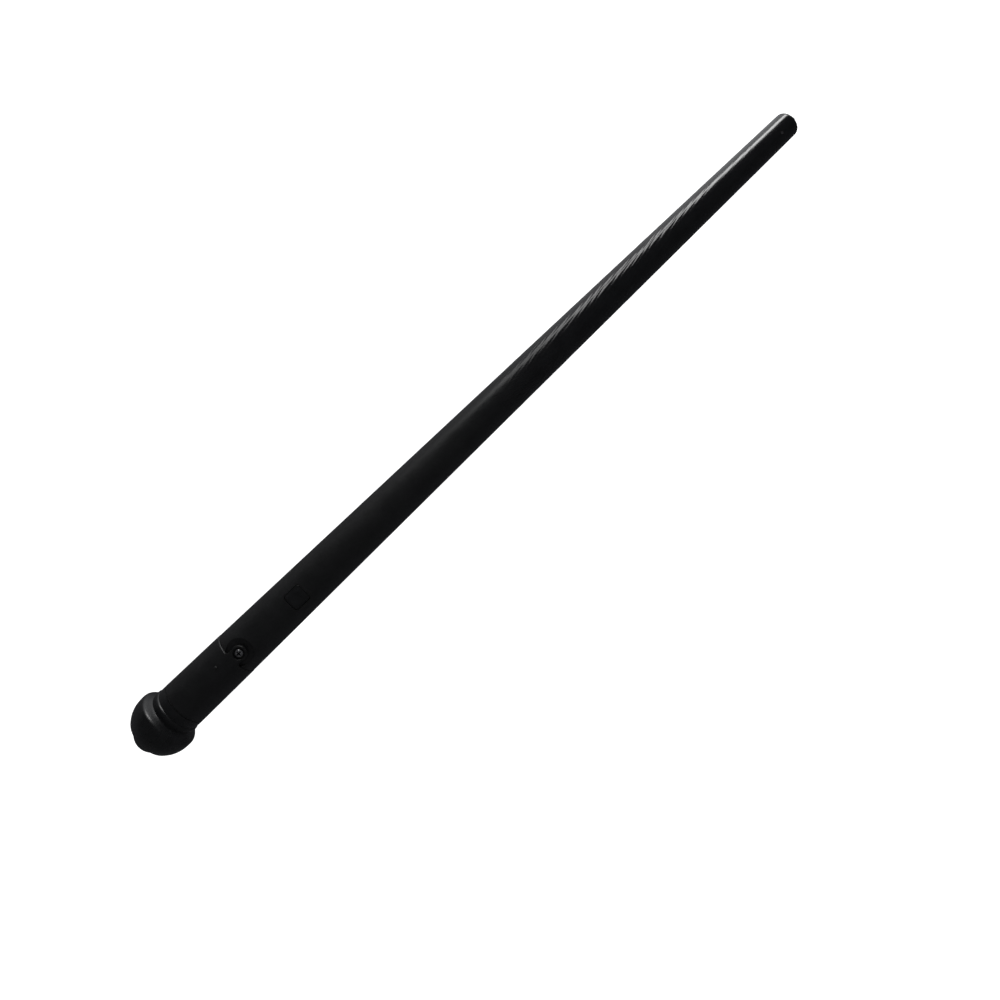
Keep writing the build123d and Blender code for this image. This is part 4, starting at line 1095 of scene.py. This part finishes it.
# surroundings: pale to the eye, dim in the reflections, dark overhead
world = bpy.data.worlds.new("studio")
bpy.context.scene.world = world
world.use_nodes = True
nt = world.node_tree
for n_ in list(nt.nodes):
    nt.nodes.remove(n_)
out = nt.nodes.new("ShaderNodeOutputWorld")
tc = nt.nodes.new("ShaderNodeTexCoord")
turn = node(nt, "ShaderNodeVectorRotate", rotation_type="X_AXIS")
turn.inputs["Angle"].default_value = math.radians(TILT - 8.5)
nt.links.new(tc.outputs["Generated"], turn.inputs["Vector"])
sep = nt.nodes.new("ShaderNodeSeparateXYZ")
nt.links.new(turn.outputs[0], sep.inputs[0])
side = remap(nt, sep.outputs[1], 0.05, 0.6, 0.0, 1.0, True)
low = remap(nt, sep.outputs[2], 0.35, -0.05, 0.0, 1.0, True)
glow = math_node(nt, "MULTIPLY", side, low)
along = nt.nodes.new("ShaderNodeValToRGB")
along.color_ramp.elements[0].position = 0.0
along.color_ramp.elements[1].position = 1.0
for x, v in ((-0.5, 0.09), (-0.05, 0.17), (0.15, 0.28), (0.22, 0.62), (0.32, 0.60), (0.42, 0.85), (0.50, 1.10)):
    e_ = along.color_ramp.elements.new((x + 0.6) / 1.2)
    e_.color = (v * 0.98 / 1.2, v * 0.99 / 1.2, v * 1.02 / 1.2, 1)
along.color_ramp.elements[0].color = (0.06, 0.062, 0.066, 1)
along.color_ramp.elements[-1].color = (0.95, 0.96, 0.98, 1)
nt.links.new(remap(nt, sep.outputs[0], -0.6, 0.6, 0.0, 1.0), along.inputs[0])
under = remap(nt, sep.outputs[2], -0.85, -0.25, 0.65 * 1.2, 1.18 * 1.2)
band = node(nt, "ShaderNodeVectorMath", operation="SCALE")
nt.links.new(along.outputs[0], band.inputs[0])
nt.links.new(under, band.inputs["Scale"])
refl = mix_colour(nt, glow, (0.042, 0.043, 0.047), band.outputs[0])
over = remap(nt, sep.outputs[2], 0.75, 1.0, 0.0, 1.0, True)
refl = mix_colour(nt, over, refl, (0.058, 0.060, 0.066))
lp = nt.nodes.new("ShaderNodeLightPath")
bg_cam = nt.nodes.new("ShaderNodeBackground")
bg_cam.inputs[0].default_value = (1, 1, 1, 1)
bg_cam.inputs[1].default_value = 1.0
bg_ref = nt.nodes.new("ShaderNodeBackground")
nt.links.new(refl, bg_ref.inputs[0])
bg_dif = nt.nodes.new("ShaderNodeBackground")
bg_dif.inputs[0].default_value = (1, 1, 1, 1)
bg_dif.inputs[1].default_value = 0.6
mix1 = nt.nodes.new("ShaderNodeMixShader")
nt.links.new(lp.outputs["Is Glossy Ray"], mix1.inputs[0])
nt.links.new(bg_dif.outputs[0], mix1.inputs[1])
nt.links.new(bg_ref.outputs[0], mix1.inputs[2])
mix2 = nt.nodes.new("ShaderNodeMixShader")
nt.links.new(lp.outputs["Is Camera Ray"], mix2.inputs[0])
nt.links.new(mix1.outputs[0], mix2.inputs[1])
nt.links.new(bg_cam.outputs[0], mix2.inputs[2])
nt.links.new(mix2.outputs[0], out.inputs[0])

# ------------------------------------------------------------------------ camera
cam_data = bpy.data.cameras.new("camera")
cam_data.lens = 26.0
cam_data.sensor_width = 36.0
cam_data.clip_start, cam_data.clip_end = 0.01, 50.0
cam = bpy.data.objects.new("camera", cam_data)
bpy.context.scene.collection.objects.link(cam)
right = 0.72106 * D + 0.69287 * N
up = 0.69287 * D - 0.72106 * N
rot = Matrix((right, up, V)).transposed()
# the frame's middle lies beside the wand, so part of the offset is lens shift
SHARE = 0.70
cam_data.shift_x, cam_data.shift_y = 0.0504 * SHARE, -0.0525 * SHARE
cam.matrix_world = Matrix.Translation((Vector((-9.1, 0, 0)) + (28.3 * (1 - SHARE) - 0.29) * N + 280.1 * V) * MM) @ rot.to_4x4()
bpy.context.scene.camera = cam
bpy.context.scene.view_settings.view_transform = "Standard"
bpy.context.scene.view_settings.look = "None"
bpy.context.scene.view_settings.exposure = 0.0
